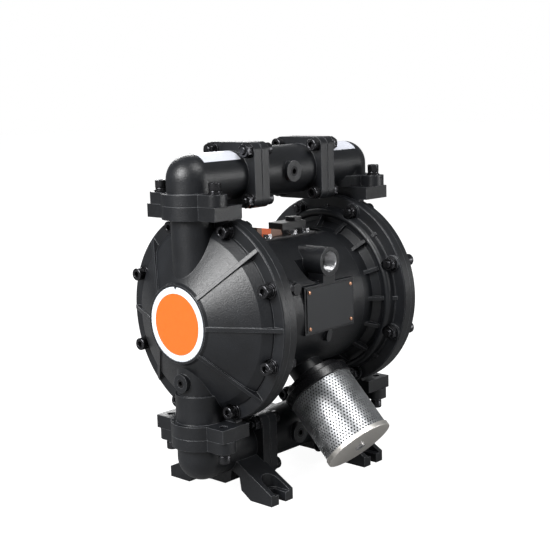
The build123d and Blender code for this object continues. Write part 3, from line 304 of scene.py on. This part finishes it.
def thread(radius, depth, pitch, start, length, steps=6):
    """Rings of a screw thread: the radius falls by a triangle wave of z over the pitch less
    the turn, so the crest climbs by one pitch for each turn."""
    z = np.linspace(start, start + length, max(2, int(round(length / pitch * steps)) + 1))
    wave = (z[:, None] / pitch - angles[None, :] / (2 * pi)) % 1.0
    return [(zi, radius - depth * np.abs(2 * w - 1)) for zi, w in zip(z, wave)]


def turned(rings):
    """Points of a body of rings (height, radius at each angle): r cos, r sin, height."""
    z = np.array([r[0] for r in rings])[:, None]
    r = np.array([r[1] for r in rings])
    return np.stack([r * np.cos(angles), r * np.sin(angles), z + 0 * r], axis=-1)


def set_out(points, places, direction):
    """Copies points to each place (mm), with their z along direction: place + x u + y v + z d."""
    d = np.array(direction, float)
    d /= np.linalg.norm(d)
    u = np.cross([0.0, 0.0, 1.0] if abs(d[2]) < 0.9 else [0.0, 1.0, 0.0], d)
    u /= np.linalg.norm(u)
    v = np.cross(d, u)
    turned_points = points @ np.array([u, v, d])
    return np.array(places, float)[:, None, None, :] + turned_points[None]


def put(name, points, faces, material):
    """Smooth mesh of points (mm) and faces, as an object that rides the pump's body."""
    mesh = bpy.data.meshes.new(name)
    mesh.from_pydata((points.reshape(-1, 3) / 1000.0).tolist(), [], faces)
    mesh.polygons.foreach_set("use_smooth", np.ones(len(mesh.polygons), bool))
    mesh.materials.append(material)
    thing = bpy.data.objects.new(name, mesh)
    scene.collection.objects.link(thing)
    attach(thing, "pump")
    return thing


def skin(name, points, material, ends=True, loop=False, crease=35.0):
    """Object from an array copy, ring, point, xyz in mm: quads join each ring to the next,
    and the two end rings are closed by flat faces, or joined to each other in a loop."""
    copies, rings, around, _ = points.shape
    ring = np.arange(rings if loop else rings - 1)
    here = ring[:, None] * around + np.arange(around)[None]
    turn_on = ring[:, None] * around + (np.arange(around)[None] + 1) % around
    lift = ((ring + 1) % rings - ring)[:, None] * around
    quads = np.stack([here, turn_on, turn_on + lift, here + lift], axis=-1).reshape(-1, 4)
    start = np.arange(copies)[:, None, None] * rings * around
    faces = (quads[None] + start).reshape(-1, 4).tolist()
    if ends and not loop:
        first = np.arange(around)[::-1]
        last = (rings - 1) * around + np.arange(around)
        for cap in (first, last):
            faces += (cap[None] + start[:, :, 0]).tolist()
    thing = put(name, points, faces, material)
    thing.data.set_sharp_from_angle(angle=radians(crease))
    return thing


def brushed(name, colour, pale, rough, scale, metal=1.0, stretch=(1, 1, 1)):
    """Metal with fine drawn lines: a noise, stretched along the lines, moves tint and gloss."""
    made, tree, bsdf = finish(name, {"Metallic": metal, "Roughness": rough})
    lines = noise(tree, scale, detail=3.0, stretch=stretch)
    rounded = node(tree, "ShaderNodeBevel", {"Radius": METAL_EDGE}, samples=4).outputs[0]
    wire(tree, bsdf, {
        "Base Color": blend(tree, lines, colour, pale),
        "Roughness": spread(tree, lines, rough * LINES_SMOOTHER, rough * LINES_ROUGHER),
        "Normal": bump(tree, lines, strength=0.3, distance=LINES_DEEP, normal=rounded),
    })
    return made


def socket_head(radius, height):
    """Rings of a socket head from its seat up: knurled side, rounded top edge, socket."""
    return [
        (0.0, circle(radius - 0.25)),
        (0.3, knurl(radius)),
        (height - 1.5, knurl(radius)),
        (height - 1.2, circle(radius)),
        (height - 0.45, circle(radius - 0.12)),
        (height - 0.1, circle(radius - 0.5)),
        (height, circle(radius - 1.0)),
        (height, circle(SOCKET_FLAT / cos(pi / 6) + 0.35)),
        (height - 0.35, hexagon(SOCKET_FLAT)),
        (height - SOCKET_DEEP, hexagon(SOCKET_FLAT)),
        (height - SOCKET_DEEP, circle(SOCKET_FLAT - 0.4)),
        (height - SOCKET_DEEP - 1.0, circle(0.2)),
    ]


def socket_screw(radius, height, shank, bare):
    """Rings of a whole screw: chamfered tip, thread over the last stretch, shank, head."""
    tip = [(-shank, circle(SHANK_R - 0.9)), (-shank + 0.5, circle(SHANK_R - 0.35))]
    rolled_length = max(THREAD_PITCH, shank - bare - TIP_CHAMFER)
    rolled = thread(SHANK_R, THREAD_DEEP, THREAD_PITCH, -shank + TIP_CHAMFER, rolled_length)
    neck = [(-bare + 0.4, circle(SHANK_R)), (0.0, circle(SHANK_R))]
    return turned(tip + rolled + neck + socket_head(radius, height))


rod_low, rod_high = extent("diaphragm_rod")
washers_low, washers_high = extent("chamber_washers_right")
_, nuts_high = extent("chamber_nuts_right")
AXIS_Z = (rod_low[2] + rod_high[2]) / 2
FLANGE_X, HEAD_SEAT, NUT_SEAT = washers_low[0], washers_high[0], nuts_high[0]


def rim_places(x):
    """Places of the rim screws at x: on a circle round the rod's axis, half a step off the level."""
    turn_of = (np.arange(RIM_SCREWS) + 0.5) * 2 * pi / RIM_SCREWS
    y = RIM_R * np.cos(turn_of)
    return np.stack([np.full(RIM_SCREWS, x), y, AXIS_Z + RIM_R * np.sin(turn_of)], axis=-1)


black_oxide = brushed(
    "black_oxide", (0.030, 0.030, 0.033, 1), (0.075, 0.075, 0.080, 1), rough=0.24, scale=900.0, metal=0.9
)
rim_shank = HEAD_SEAT - NUT_SEAT + NUT_H + RIM_TIP_PAST
rim_screw = socket_screw(HEAD_R, HEAD_H, rim_shank, rim_shank - RIM_THREADED)
for side_name, side in (("left", -1.0), ("right", 1.0)):
    screws = skin(
        "chamber_screws_cut_" + side_name, set_out(rim_screw, rim_places(side * HEAD_SEAT), (side, 0, 0)),
        black_oxide,
    )
    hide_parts("chamber_screws_" + side_name)

# ---------------------------------------------------------------- chamber washers and nuts
# Under each head lie a flat and a split spring washer, stamped and wound in black steel.
# The hexagon nut sits behind the rim of the air cap.
WASHER_R, WASHER_BORE, WASHER_T = 8.0, 4.2, 1.6
SPRING_R, SPRING_T, SPRING_CLIMB = 6.8, 2.0, 0.12
SPRING_STARTS, SPRING_ENDS, SPRING_RINGS = 96.0, 444.0, 60
NUT_BORE = SHANK_R + 0.05


def hex_nut(flat, height, bore):
    """Closed loop of rings of a nut: its corners are cut by a cone at both faces."""
    corner = flat / cos(pi / 6)
    six = hexagon(flat)
    return turned([
        (0.0, np.minimum(six, flat - 0.1)),
        (0.7, np.minimum(six, corner)),
        (height - 0.7, np.minimum(six, corner)),
        (height, np.minimum(six, flat - 0.1)),
        (height, circle(bore + 0.45)),
        (height - 0.45, circle(bore)),
        (0.45, circle(bore)),
        (0.0, circle(bore + 0.45)),
    ])


def flat_washer(outer):
    """Closed loop of rings of a stamped washer with a rolled outer edge."""
    return turned([
        (0.0, circle(outer - 0.2)),
        (0.25, circle(outer)),
        (WASHER_T - 0.35, circle(outer)),
        (WASHER_T, circle(outer - 0.4)),
        (WASHER_T, circle(WASHER_BORE + 0.15)),
        (WASHER_T - 0.15, circle(WASHER_BORE)),
        (0.15, circle(WASHER_BORE)),
        (0.0, circle(WASHER_BORE + 0.15)),
    ])


def spring_washer(outer):
    """Split ring on top of a flat washer: a square section carried round the axis that climbs
    in step with the angle, so its two ends stand apart at the gap."""
    sweep = np.linspace(radians(SPRING_STARTS), radians(SPRING_ENDS), SPRING_RINGS)[:, None]
    climb = WASHER_T + SPRING_CLIMB * (sweep - sweep[0]) / (sweep[-1] - sweep[0])
    r = np.array([WASHER_BORE, outer - 0.15, outer, outer, outer - 0.15, WASHER_BORE])[None]
    z = np.array([0.0, 0.0, 0.15, 0.85, 1.0, 1.0])[None] * (SPRING_T - SPRING_CLIMB)
    return np.stack([r * np.cos(sweep), r * np.sin(sweep), climb + z], axis=-1)


def outward(thing, merge=0.0, crease=35.0):
    """Turns the faces of a piece outwards, once points closer than merge (m) are joined."""
    shape = bmesh.new()
    shape.from_mesh(thing.data)
    if merge:
        bmesh.ops.remove_doubles(shape, verts=shape.verts, dist=merge)
    bmesh.ops.recalc_face_normals(shape, faces=shape.faces)
    shape.to_mesh(thing.data)
    shape.free()
    if crease:
        thing.data.set_sharp_from_angle(angle=radians(crease))
    return thing


def ring_piece(name, points, loop=True):
    """Nut or washer in black oxide, a closed loop of rings unless it is split."""
    return outward(skin(name, points, black_oxide, loop=loop))


for side_name, side in (("left", -1.0), ("right", 1.0)):
    seats = rim_places(side * FLANGE_X)
    whole = set_out(flat_washer(WASHER_R), seats, (side, 0, 0))
    split = set_out(spring_washer(SPRING_R), seats, (side, 0, 0))
    plain = ring_piece("chamber_washers_flat_" + side_name, whole)
    ring_piece("chamber_washers_split_" + side_name, split, loop=False)
    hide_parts("chamber_washers_" + side_name)
    nut_places = rim_places(side * NUT_SEAT)
    nut = hex_nut(NUT_FLAT, NUT_H, NUT_BORE)
    nuts = ring_piece("chamber_nuts_cut_" + side_name, set_out(nut, nut_places, (-side, 0, 0)))
    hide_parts("chamber_nuts_" + side_name)

# ---------------------------------------------------------------- column screws
# The elbows are held by two socket screws each, standing upright on the upper elbows and
# hanging below the lower ones, with a flat and a spring washer under the head.
COLUMN_X, COLUMN_Y, PLATE_Z = 122.8, 38.0, 127.3
COLUMN_HEAD_R, COLUMN_SHANK, COLUMN_BARE = 6.1, 24.0, 18.0
COLUMN_WASHER_R, COLUMN_SPRING_R = 7.0, 5.9

for way, up in (("outlet", 1.0), ("inlet", -1.0)):
    plate_z = AXIS_Z + up * PLATE_Z
    seats = [(x, y, plate_z) for x in (-COLUMN_X, COLUMN_X) for y in (-COLUMN_Y, COLUMN_Y)]
    head_seats = [(x, y, z + up * (WASHER_T + SPRING_T)) for x, y, z in seats]
    column_screw = socket_screw(COLUMN_HEAD_R, HEAD_H, COLUMN_SHANK, COLUMN_BARE)
    screws = skin(
        way + "_column_screws_cut", set_out(column_screw, head_seats, (0, 0, up)), black_oxide
    )
    ring_piece(way + "_column_washers_flat", set_out(flat_washer(COLUMN_WASHER_R), seats, (0, 0, up)))
    split = set_out(spring_washer(COLUMN_SPRING_R), seats, (0, 0, up))
    ring_piece(way + "_column_washers_split", split, loop=False)
    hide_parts(way + "_column_screws")

# ---------------------------------------------------------------- pipe joint screws
# Four more socket screws per pipe joint; the nuts are on the elbows' side.  On the inlet
# the lower two are screwed into the casting, so only the upper two have nuts.
PIPE_Z, TEE_FACE, ELBOW_FACE, JOINT_HALF = 140.2, 40.6, 61.4, 25.0
JOINT_BARE = ELBOW_FACE - TEE_FACE
JOINT_TIP_PAST, BLIND_SHORT = 2.0, 1.5


def both_joints(points, face, corners, facing):
    """Copies of points at these corners (y, z) of the left and the right joint, x at face,
    with their z pointing outwards (facing 1) or to the middle (facing -1)."""
    return np.concatenate([
        set_out(points, [(side * face, y, z) for y, z in corners], (side * facing, 0, 0))
        for side in (-1.0, 1.0)
    ])


through_screw = socket_screw(HEAD_R, HEAD_H, JOINT_BARE + NUT_H + WASHER_T + JOINT_TIP_PAST, JOINT_BARE)
blind_screw = socket_screw(HEAD_R, HEAD_H, JOINT_BARE - BLIND_SHORT, JOINT_BARE - 2 * NUT_H)
for way, up in (("outlet", 1.0), ("inlet", -1.0)):
    pipe_z = AXIS_Z + up * PIPE_Z
    corners = [(y, pipe_z + z) for y in (-JOINT_HALF, JOINT_HALF) for z in (-JOINT_HALF, JOINT_HALF)]
    through = [c for c in corners if way == "outlet" or c[1] > pipe_z]
    blind = [c for c in corners if c not in through]
    long = both_joints(through_screw, TEE_FACE, through, -1)
    screws = skin(way + "_joint_screws_cut", long, black_oxide)
    if blind:
        short = both_joints(blind_screw, TEE_FACE, blind, -1)
        skin(way + "_joint_screws_short", short, black_oxide)
    nut = hex_nut(NUT_FLAT, NUT_H, NUT_BORE)
    nuts = ring_piece(way + "_joint_nuts_cut", both_joints(nut, ELBOW_FACE + WASHER_T, through, 1))
    ring_piece(way + "_joint_washers", both_joints(flat_washer(WASHER_R), ELBOW_FACE, through, 1))
    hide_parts(way + "_joint_screws")
    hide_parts(way + "_joint_nuts")

# ---------------------------------------------------------------- muffler can
# A sheet of bright steel with staggered round holes, rolled to a tube and clamped between
# the muffler's head and its end cap.
EXHAUST_DROP = 28.0
MUFFLER_ROOT = np.array([0.0, 0.0, AXIS_Z - EXHAUST_DROP])
MUFFLER_DIR = np.array([0.0, -1.0, -1.0]) / 2**0.5
CAN_START, CAN_LENGTH, CAN_R, CAN_WALL = 85.2, 69.5, 36.0, 0.8
HOLES_AROUND, HOLE_R, HOLE_SIDES = 66, 0.92, 12
SEAM, SPLIT_ANGLE = 0.00002, 30.0


def perforated_can():
    """Sheet of six-sided cells rolled to a tube, as an array cell, ring, point, xyz.  A cell
    has one ring of points on its hole and one on its border; the flat place (u, v) becomes
    radius times cos and sin of u / radius, and v along the axis."""
    pitch = 2 * pi * CAN_R / HOLES_AROUND
    close_step = pitch * cos(pi / 6)
    rows = int(CAN_LENGTH / close_step)
    step = CAN_LENGTH / rows
    row, column = np.meshgrid(np.arange(rows), np.arange(HOLES_AROUND), indexing="ij")
    middles = np.stack([((column + 0.5 * (row % 2)) * pitch).ravel(), ((row + 0.5) * step).ravel()], axis=-1)
    corner = np.arange(HOLE_SIDES)
    around = corner * 2 * pi / HOLE_SIDES
    circle_of = np.stack([np.cos(around), np.sin(around)], axis=-1)
    border = np.where(corner % 2 == 0, pitch / 2, pitch / 2 / cos(pi / 6))
    cell = np.stack([HOLE_R * circle_of, border[:, None] * circle_of * [1.0, step / close_step]])
    flat = cell[None] + middles[:, None, None, :]
    turn_of = flat[..., 0] / CAN_R
    along = np.clip(flat[..., 1], 0.0, CAN_LENGTH)
    return np.stack([CAN_R * np.cos(turn_of), CAN_R * np.sin(turn_of), along], axis=-1)


def on_muffler(points):
    """Places points whose z is along the muffler, counted from the start of the can."""
    start = MUFFLER_ROOT + MUFFLER_DIR * CAN_START
    return set_out(points.reshape(1, -1, 3), [start], MUFFLER_DIR).reshape(points.shape)


steel_sheet = brushed("steel_sheet", (0.42, 0.43, 0.44, 1), (0.56, 0.57, 0.58, 1), rough=0.38, scale=160.0)
can = skin("muffler_can", on_muffler(perforated_can()), steel_sheet, ends=False, crease=60)
outward(can, merge=SEAM, crease=0.0)
wall = can.modifiers.new("wall", "SOLIDIFY")
wall.thickness = CAN_WALL / 1000
wall.offset = -1
crisp = can.modifiers.new("crisp", "EDGE_SPLIT")
crisp.split_angle = radians(SPLIT_ANGLE)
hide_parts("muffler_screen")

# ---------------------------------------------------------------- muffler wadding
# A roll of grey felt inside the can, which quietens the exhaust air.  It shows through the
# holes, a little behind the sheet.
WAD_R = CAN_R - 3.0


def mottled(name, shader, deep, pale, scale, detail, gloss=None, relief=None):
    """One noise tints the surface from deep to pale; it may also move the gloss between two
    values, and raise a relief of a strength and a height."""
    made, tree, bsdf = finish(name, shader)
    grain = noise(tree, scale, detail)
    sources = {"Base Color": blend(tree, grain, deep, pale)}
    if gloss:
        sources["Roughness"] = spread(tree, grain, *gloss)
    if relief:
        sources["Normal"] = bump(tree, grain, *relief)
    wire(tree, bsdf, sources)
    return made


felt = mottled(
    "muffler_felt", {"Roughness": 0.95}, (0.02, 0.02, 0.02, 1), (0.11, 0.11, 0.11, 1),
    scale=900.0, detail=4.0, relief=(0.8, 0.0004),
)
wad = turned([(0.0, circle(WAD_R)), (CAN_LENGTH, circle(WAD_R))])
skin("muffler_wadding", on_muffler(wad)[None], felt, crease=50)

# ---------------------------------------------------------------- muffler head and end cap
# The head that screws into the exhaust port is moulded in black plastic.  The end cap is
# pressed from steel sheet and held by the through bolt.
# Its edges carry a painted highlight, paler than the moulding.
moulded = coated(
    "moulded_black", (0.003, 0.003, 0.004, 1), (0.006, 0.006, 0.007, 1), (0.02, 0.02, 0.02, 1),
    grain=700.0, depth=0.00006, rough=0.28, radius=0.0006,
)
dress(moulded, "muffler_cap")
pressed = brushed("pressed_steel", (0.74, 0.71, 0.67, 1), (0.88, 0.85, 0.80, 1), rough=0.42, scale=500.0)
dress(pressed, "muffler_end_cap")

# ---------------------------------------------------------------- badges
# Printed plastic discs sunk in the hubs of the fluid caps and glued there: an orange field
# inside a white ring with a small notch on top, otherwise left plain.
FIELD_R, HUB_R = 0.0308, 0.0372
NOTCH_DEEP, NOTCH_HALF = 0.0027, 0.0019
ORANGE_DEEP, ORANGE_PALE = (0.80, 0.135, 0.010, 1), (0.88, 0.160, 0.014, 1)
RING_WHITE, NOTCH_DARK = (0.78, 0.82, 0.87, 1), (0.012, 0.013, 0.016, 1)


def vector_sum(tree, operation, first, second=(0, 0, 0)):
    """Node that works out one sum on two vectors."""
    return node(tree, "ShaderNodeVectorMath", {0: first, 1: second}, operation=operation)


def hub_disc():
    """Orange near the rod's axis and white past the field's radius, but dark where the
    distance from the middle plane is less than a wedge that widens from the notch's tip."""
    made, tree, bsdf = finish("badge_print", {"Roughness": 0.32, "Coat Weight": 0.3})
    place = node(tree, "ShaderNodeTexCoord").outputs["Object"]
    from_axis = vector_sum(tree, "SUBTRACT", place, (0, 0, AXIS_Z / 1000)).outputs[0]
    flat = vector_sum(tree, "MULTIPLY", from_axis, (0, 1, 1)).outputs[0]
    away = vector_sum(tree, "LENGTH", flat).outputs["Value"]
    haze = noise(tree, 260.0, detail=3.0)
    field = blend(tree, haze, ORANGE_DEEP, ORANGE_PALE)
    paint = blend(tree, maths(tree, "GREATER_THAN", away, FIELD_R), field, RING_WHITE)
    parts = node(tree, "ShaderNodeSeparateXYZ", {0: from_axis})
    wedge = spread(tree, parts.outputs["Z"], 0.0, NOTCH_HALF, start=HUB_R - NOTCH_DEEP, end=HUB_R)
    cut = maths(tree, "LESS_THAN", maths(tree, "ABSOLUTE", parts.outputs["Y"]), wedge)
    wire(tree, bsdf, {
        "Base Color": blend(tree, cut, paint, NOTCH_DARK),
        "Roughness": spread(tree, haze, 0.28, 0.40),
    })
    return made


dress(hub_disc(), *both_sides("badge"))

# ---------------------------------------------------------------- name plate
# A black anodised aluminium plate, left blank, held on the drum's pad by four copper
# rivets.
plate_print = mottled(
    "plate_print", {"Roughness": 0.42, "Metallic": 0.2}, (0.018, 0.019, 0.021, 1), (0.040, 0.042, 0.046, 1),
    scale=700.0, detail=4.0, gloss=(0.34, 0.52), relief=(0.25, 0.00008),
)
dress(plate_print, "name_plate")
copper = brushed("rivet_copper", (0.55, 0.26, 0.15, 1), (0.85, 0.48, 0.32, 1), rough=0.30, scale=900.0)
dress(copper, "name_plate_rivets")

# ---------------------------------------------------------------- plugs and inner screws
# Black socket plugs close the bosses of the tees and the drains of the lower columns.  The
# screws between the air caps and the drum are black oxide like those of the rim.
dress(black_oxide, "air_cap_screws")
plug_black = brushed(
    "plug_black", (0.008, 0.008, 0.009, 1), (0.020, 0.020, 0.022, 1), rough=0.42, scale=900.0, metal=0.6
)
dress(plug_black, "tee_plugs", "drain_plugs")

# ---------------------------------------------------------------- pilot valve
# A black coated block on the drum's platform.  The screws that hold it are zinc plated,
# and so is the through bolt of the muffler.
# Its edges carry a painted highlight, a little paler than the coat.
valve_black = coated(
    "valve_black", (0.014, 0.014, 0.015, 1), (0.022, 0.022, 0.024, 1), (0.04, 0.04, 0.04, 1),
    grain=900.0, depth=0.00008, rough=0.36, radius=0.0006,
)
dress(valve_black, "pilot_valve_block")
zinc = brushed("zinc_plate", (0.55, 0.55, 0.56, 1), (0.80, 0.80, 0.82, 1), rough=0.22, scale=900.0)
dress(zinc, "valve_screws", "muffler_bolt")

# ---------------------------------------------------------------- valve cover
# The sloping cover beside the block is moulded in a streaked brown plastic, with an orange
# band printed across it.
BAND_FROM, BAND_TO = -0.029, -0.015
BROWN_DEEP, BROWN_PALE, BAND_ORANGE = (0.13, 0.068, 0.046, 1), (0.30, 0.17, 0.12, 1), (0.80, 0.14, 0.03, 1)


def streaked_cover():
    """Brown from a noise drawn out along x, orange where x lies between the band's edges."""
    made, tree, bsdf = finish("cover_print", {"Roughness": 0.45})
    place = node(tree, "ShaderNodeTexCoord").outputs["Object"]
    x = node(tree, "ShaderNodeSeparateXYZ", {0: place}).outputs["X"]
    streaks = noise(tree, 90.0, detail=4.0, stretch=(1.0, 9.0, 9.0))
    brown = blend(tree, streaks, BROWN_DEEP, BROWN_PALE)
    past = maths(tree, "GREATER_THAN", x, BAND_FROM)
    before = maths(tree, "LESS_THAN", x, BAND_TO)
    wire(tree, bsdf, {
        "Base Color": blend(tree, maths(tree, "MULTIPLY", past, before), brown, BAND_ORANGE),
        "Normal": bump(tree, streaks, strength=0.4, distance=0.0002),
    })
    return made


dress(streaked_cover(), "valve_cover")

# ---------------------------------------------------------------- seals, diaphragms and balls
# Black rubber: cut gaskets at the pipe joints and under the valve, moulded diaphragms and
# balls.
seal_rubber = coated(
    "seal_rubber", (0.010, 0.010, 0.010, 1), (0.020, 0.020, 0.020, 1), (0.02, 0.02, 0.02, 1),
    grain=600.0, depth=0.0001, rough=0.7, radius=0.0004,
)
dress(seal_rubber, "joint_gaskets", "valve_gasket")
dress(seal_rubber, *both_sides("diaphragm", "inlet_ball", "outlet_ball"))

# ---------------------------------------------------------------- rods and spool
# The rod between the diaphragms, the pilot rod and the air spool are ground steel, with
# fine lines along their length.
ground_steel = brushed(
    "ground_steel", (0.52, 0.52, 0.54, 1), (0.72, 0.72, 0.74, 1), rough=0.16, scale=500.0, stretch=(1, 12, 12)
)
dress(ground_steel, "diaphragm_rod", "pilot_rod", "valve_spool")

# ---------------------------------------------------------------- diaphragm plates
# Turned aluminium discs on both sides of each diaphragm, screwed to the ends of the rod so
# that they clamp the rubber.
turned_aluminium = brushed(
    "turned_aluminium", (0.58, 0.58, 0.60, 1), (0.78, 0.78, 0.80, 1), rough=0.28, scale=420.0
)
dress(turned_aluminium, *both_sides("inner_plate", "outer_plate"))

# ---------------------------------------------------------------- bushes and ball seats
# The rod runs in pressed bronze bushes, and plugs of the same bronze close the spool's
# bore.  The rings that the balls close on are machined from a pale plastic.
bearing_bronze = brushed(
    "bearing_bronze", (0.52, 0.33, 0.13, 1), (0.72, 0.50, 0.24, 1), rough=0.26, scale=420.0
)
dress(bearing_bronze, "rod_bushes", "spool_bore_plugs")
# Their edges carry a painted highlight, paler than the plastic.
seat_plastic = coated(
    "seat_plastic", (0.62, 0.61, 0.57, 1), (0.74, 0.73, 0.69, 1), (0.80, 0.80, 0.78, 1),
    grain=500.0, depth=0.00005, rough=0.5, radius=0.0004,
)
dress(seat_plastic, *both_sides("inlet_ball_seat", "outlet_ball_seat"))

# ---------------------------------------------------------------- threads of the ports
# The air inlet is a half inch and the liquid ports a one inch parallel pipe thread.  They
# are tapped after coating, so the threads are bare bright aluminium.
AIR_FACE_Y, AIR_RISE = -76.0, 49.5
LIQUID_FACE_Y = 44.0
bare_thread = brushed("bare_thread", (0.50, 0.50, 0.51, 1), (0.66, 0.66, 0.67, 1), rough=0.36, scale=240.0)


def tapped(name, place, direction, radius, depth, pitch, length):
    """Female thread: a tube of thread rings with a countersunk mouth, place at its mouth."""
    rings = thread(radius - 0.05, depth, pitch, -length + 0.3, length - 1.6)
    rings += [(-1.0, circle(radius - 0.1)), (-0.02, circle(radius - 0.02))]
    skin(name, set_out(turned(rings), [place], direction), bare_thread, ends=False, crease=70)


tapped(
    "air_inlet_thread", (0, AIR_FACE_Y, AXIS_Z + AIR_RISE), (0, -1, 0), radius=10.5, depth=1.1, pitch=1.814,
    length=16.0,
)
for name, rise in (("liquid_outlet_thread", PIPE_Z), ("liquid_inlet_thread", -PIPE_Z)):
    tapped(
        name, (0, LIQUID_FACE_Y, AXIS_Z + rise), (0, 1, 0), radius=16.6, depth=1.4, pitch=2.309, length=20.0
    )

# ---------------------------------------------------------------- labels
# A plain white adhesive label lies on the top of each outlet elbow's pipe, left blank.  It
# is coated paper, wrapped from the back over the top to the front.
PIPE_R, LABEL_LIFT = 24.5, 0.15
LABEL_NEAR, LABEL_FAR = 66.0, 116.5
LABEL_FRONT, LABEL_BACK = -48.0, 30.0
LABEL_ROWS, LABEL_COLUMNS = 12, 24
label_paper = mottled(
    "label_paper", {"Roughness": 0.4, "Coat Weight": 0.2}, (0.66, 0.68, 0.76, 1), (0.80, 0.82, 0.88, 1),
    scale=700.0, detail=3.0,
)


def label(name, x_from, x_to):
    """Patch of a tube just above the pipe: x by angle, with the angle counted from the top."""
    steps = np.linspace(x_from, x_to, LABEL_ROWS)
    turns = np.radians(np.linspace(LABEL_FRONT, LABEL_BACK, LABEL_COLUMNS))
    x, turn_by = np.meshgrid(steps, turns, indexing="ij")
    r = PIPE_R + LABEL_LIFT
    points = np.stack([x, r * np.sin(turn_by), AXIS_Z + PIPE_Z + r * np.cos(turn_by)], axis=-1)
    corner = np.arange(LABEL_ROWS - 1)[:, None] * LABEL_COLUMNS + np.arange(LABEL_COLUMNS - 1)[None]
    faces = corner.reshape(-1, 1) + np.array([[0, 1, LABEL_COLUMNS + 1, LABEL_COLUMNS]])
    put(name, points, faces.tolist(), label_paper)


label("label_left", -LABEL_FAR, -LABEL_NEAR)
label("label_right", LABEL_NEAR, LABEL_FAR)
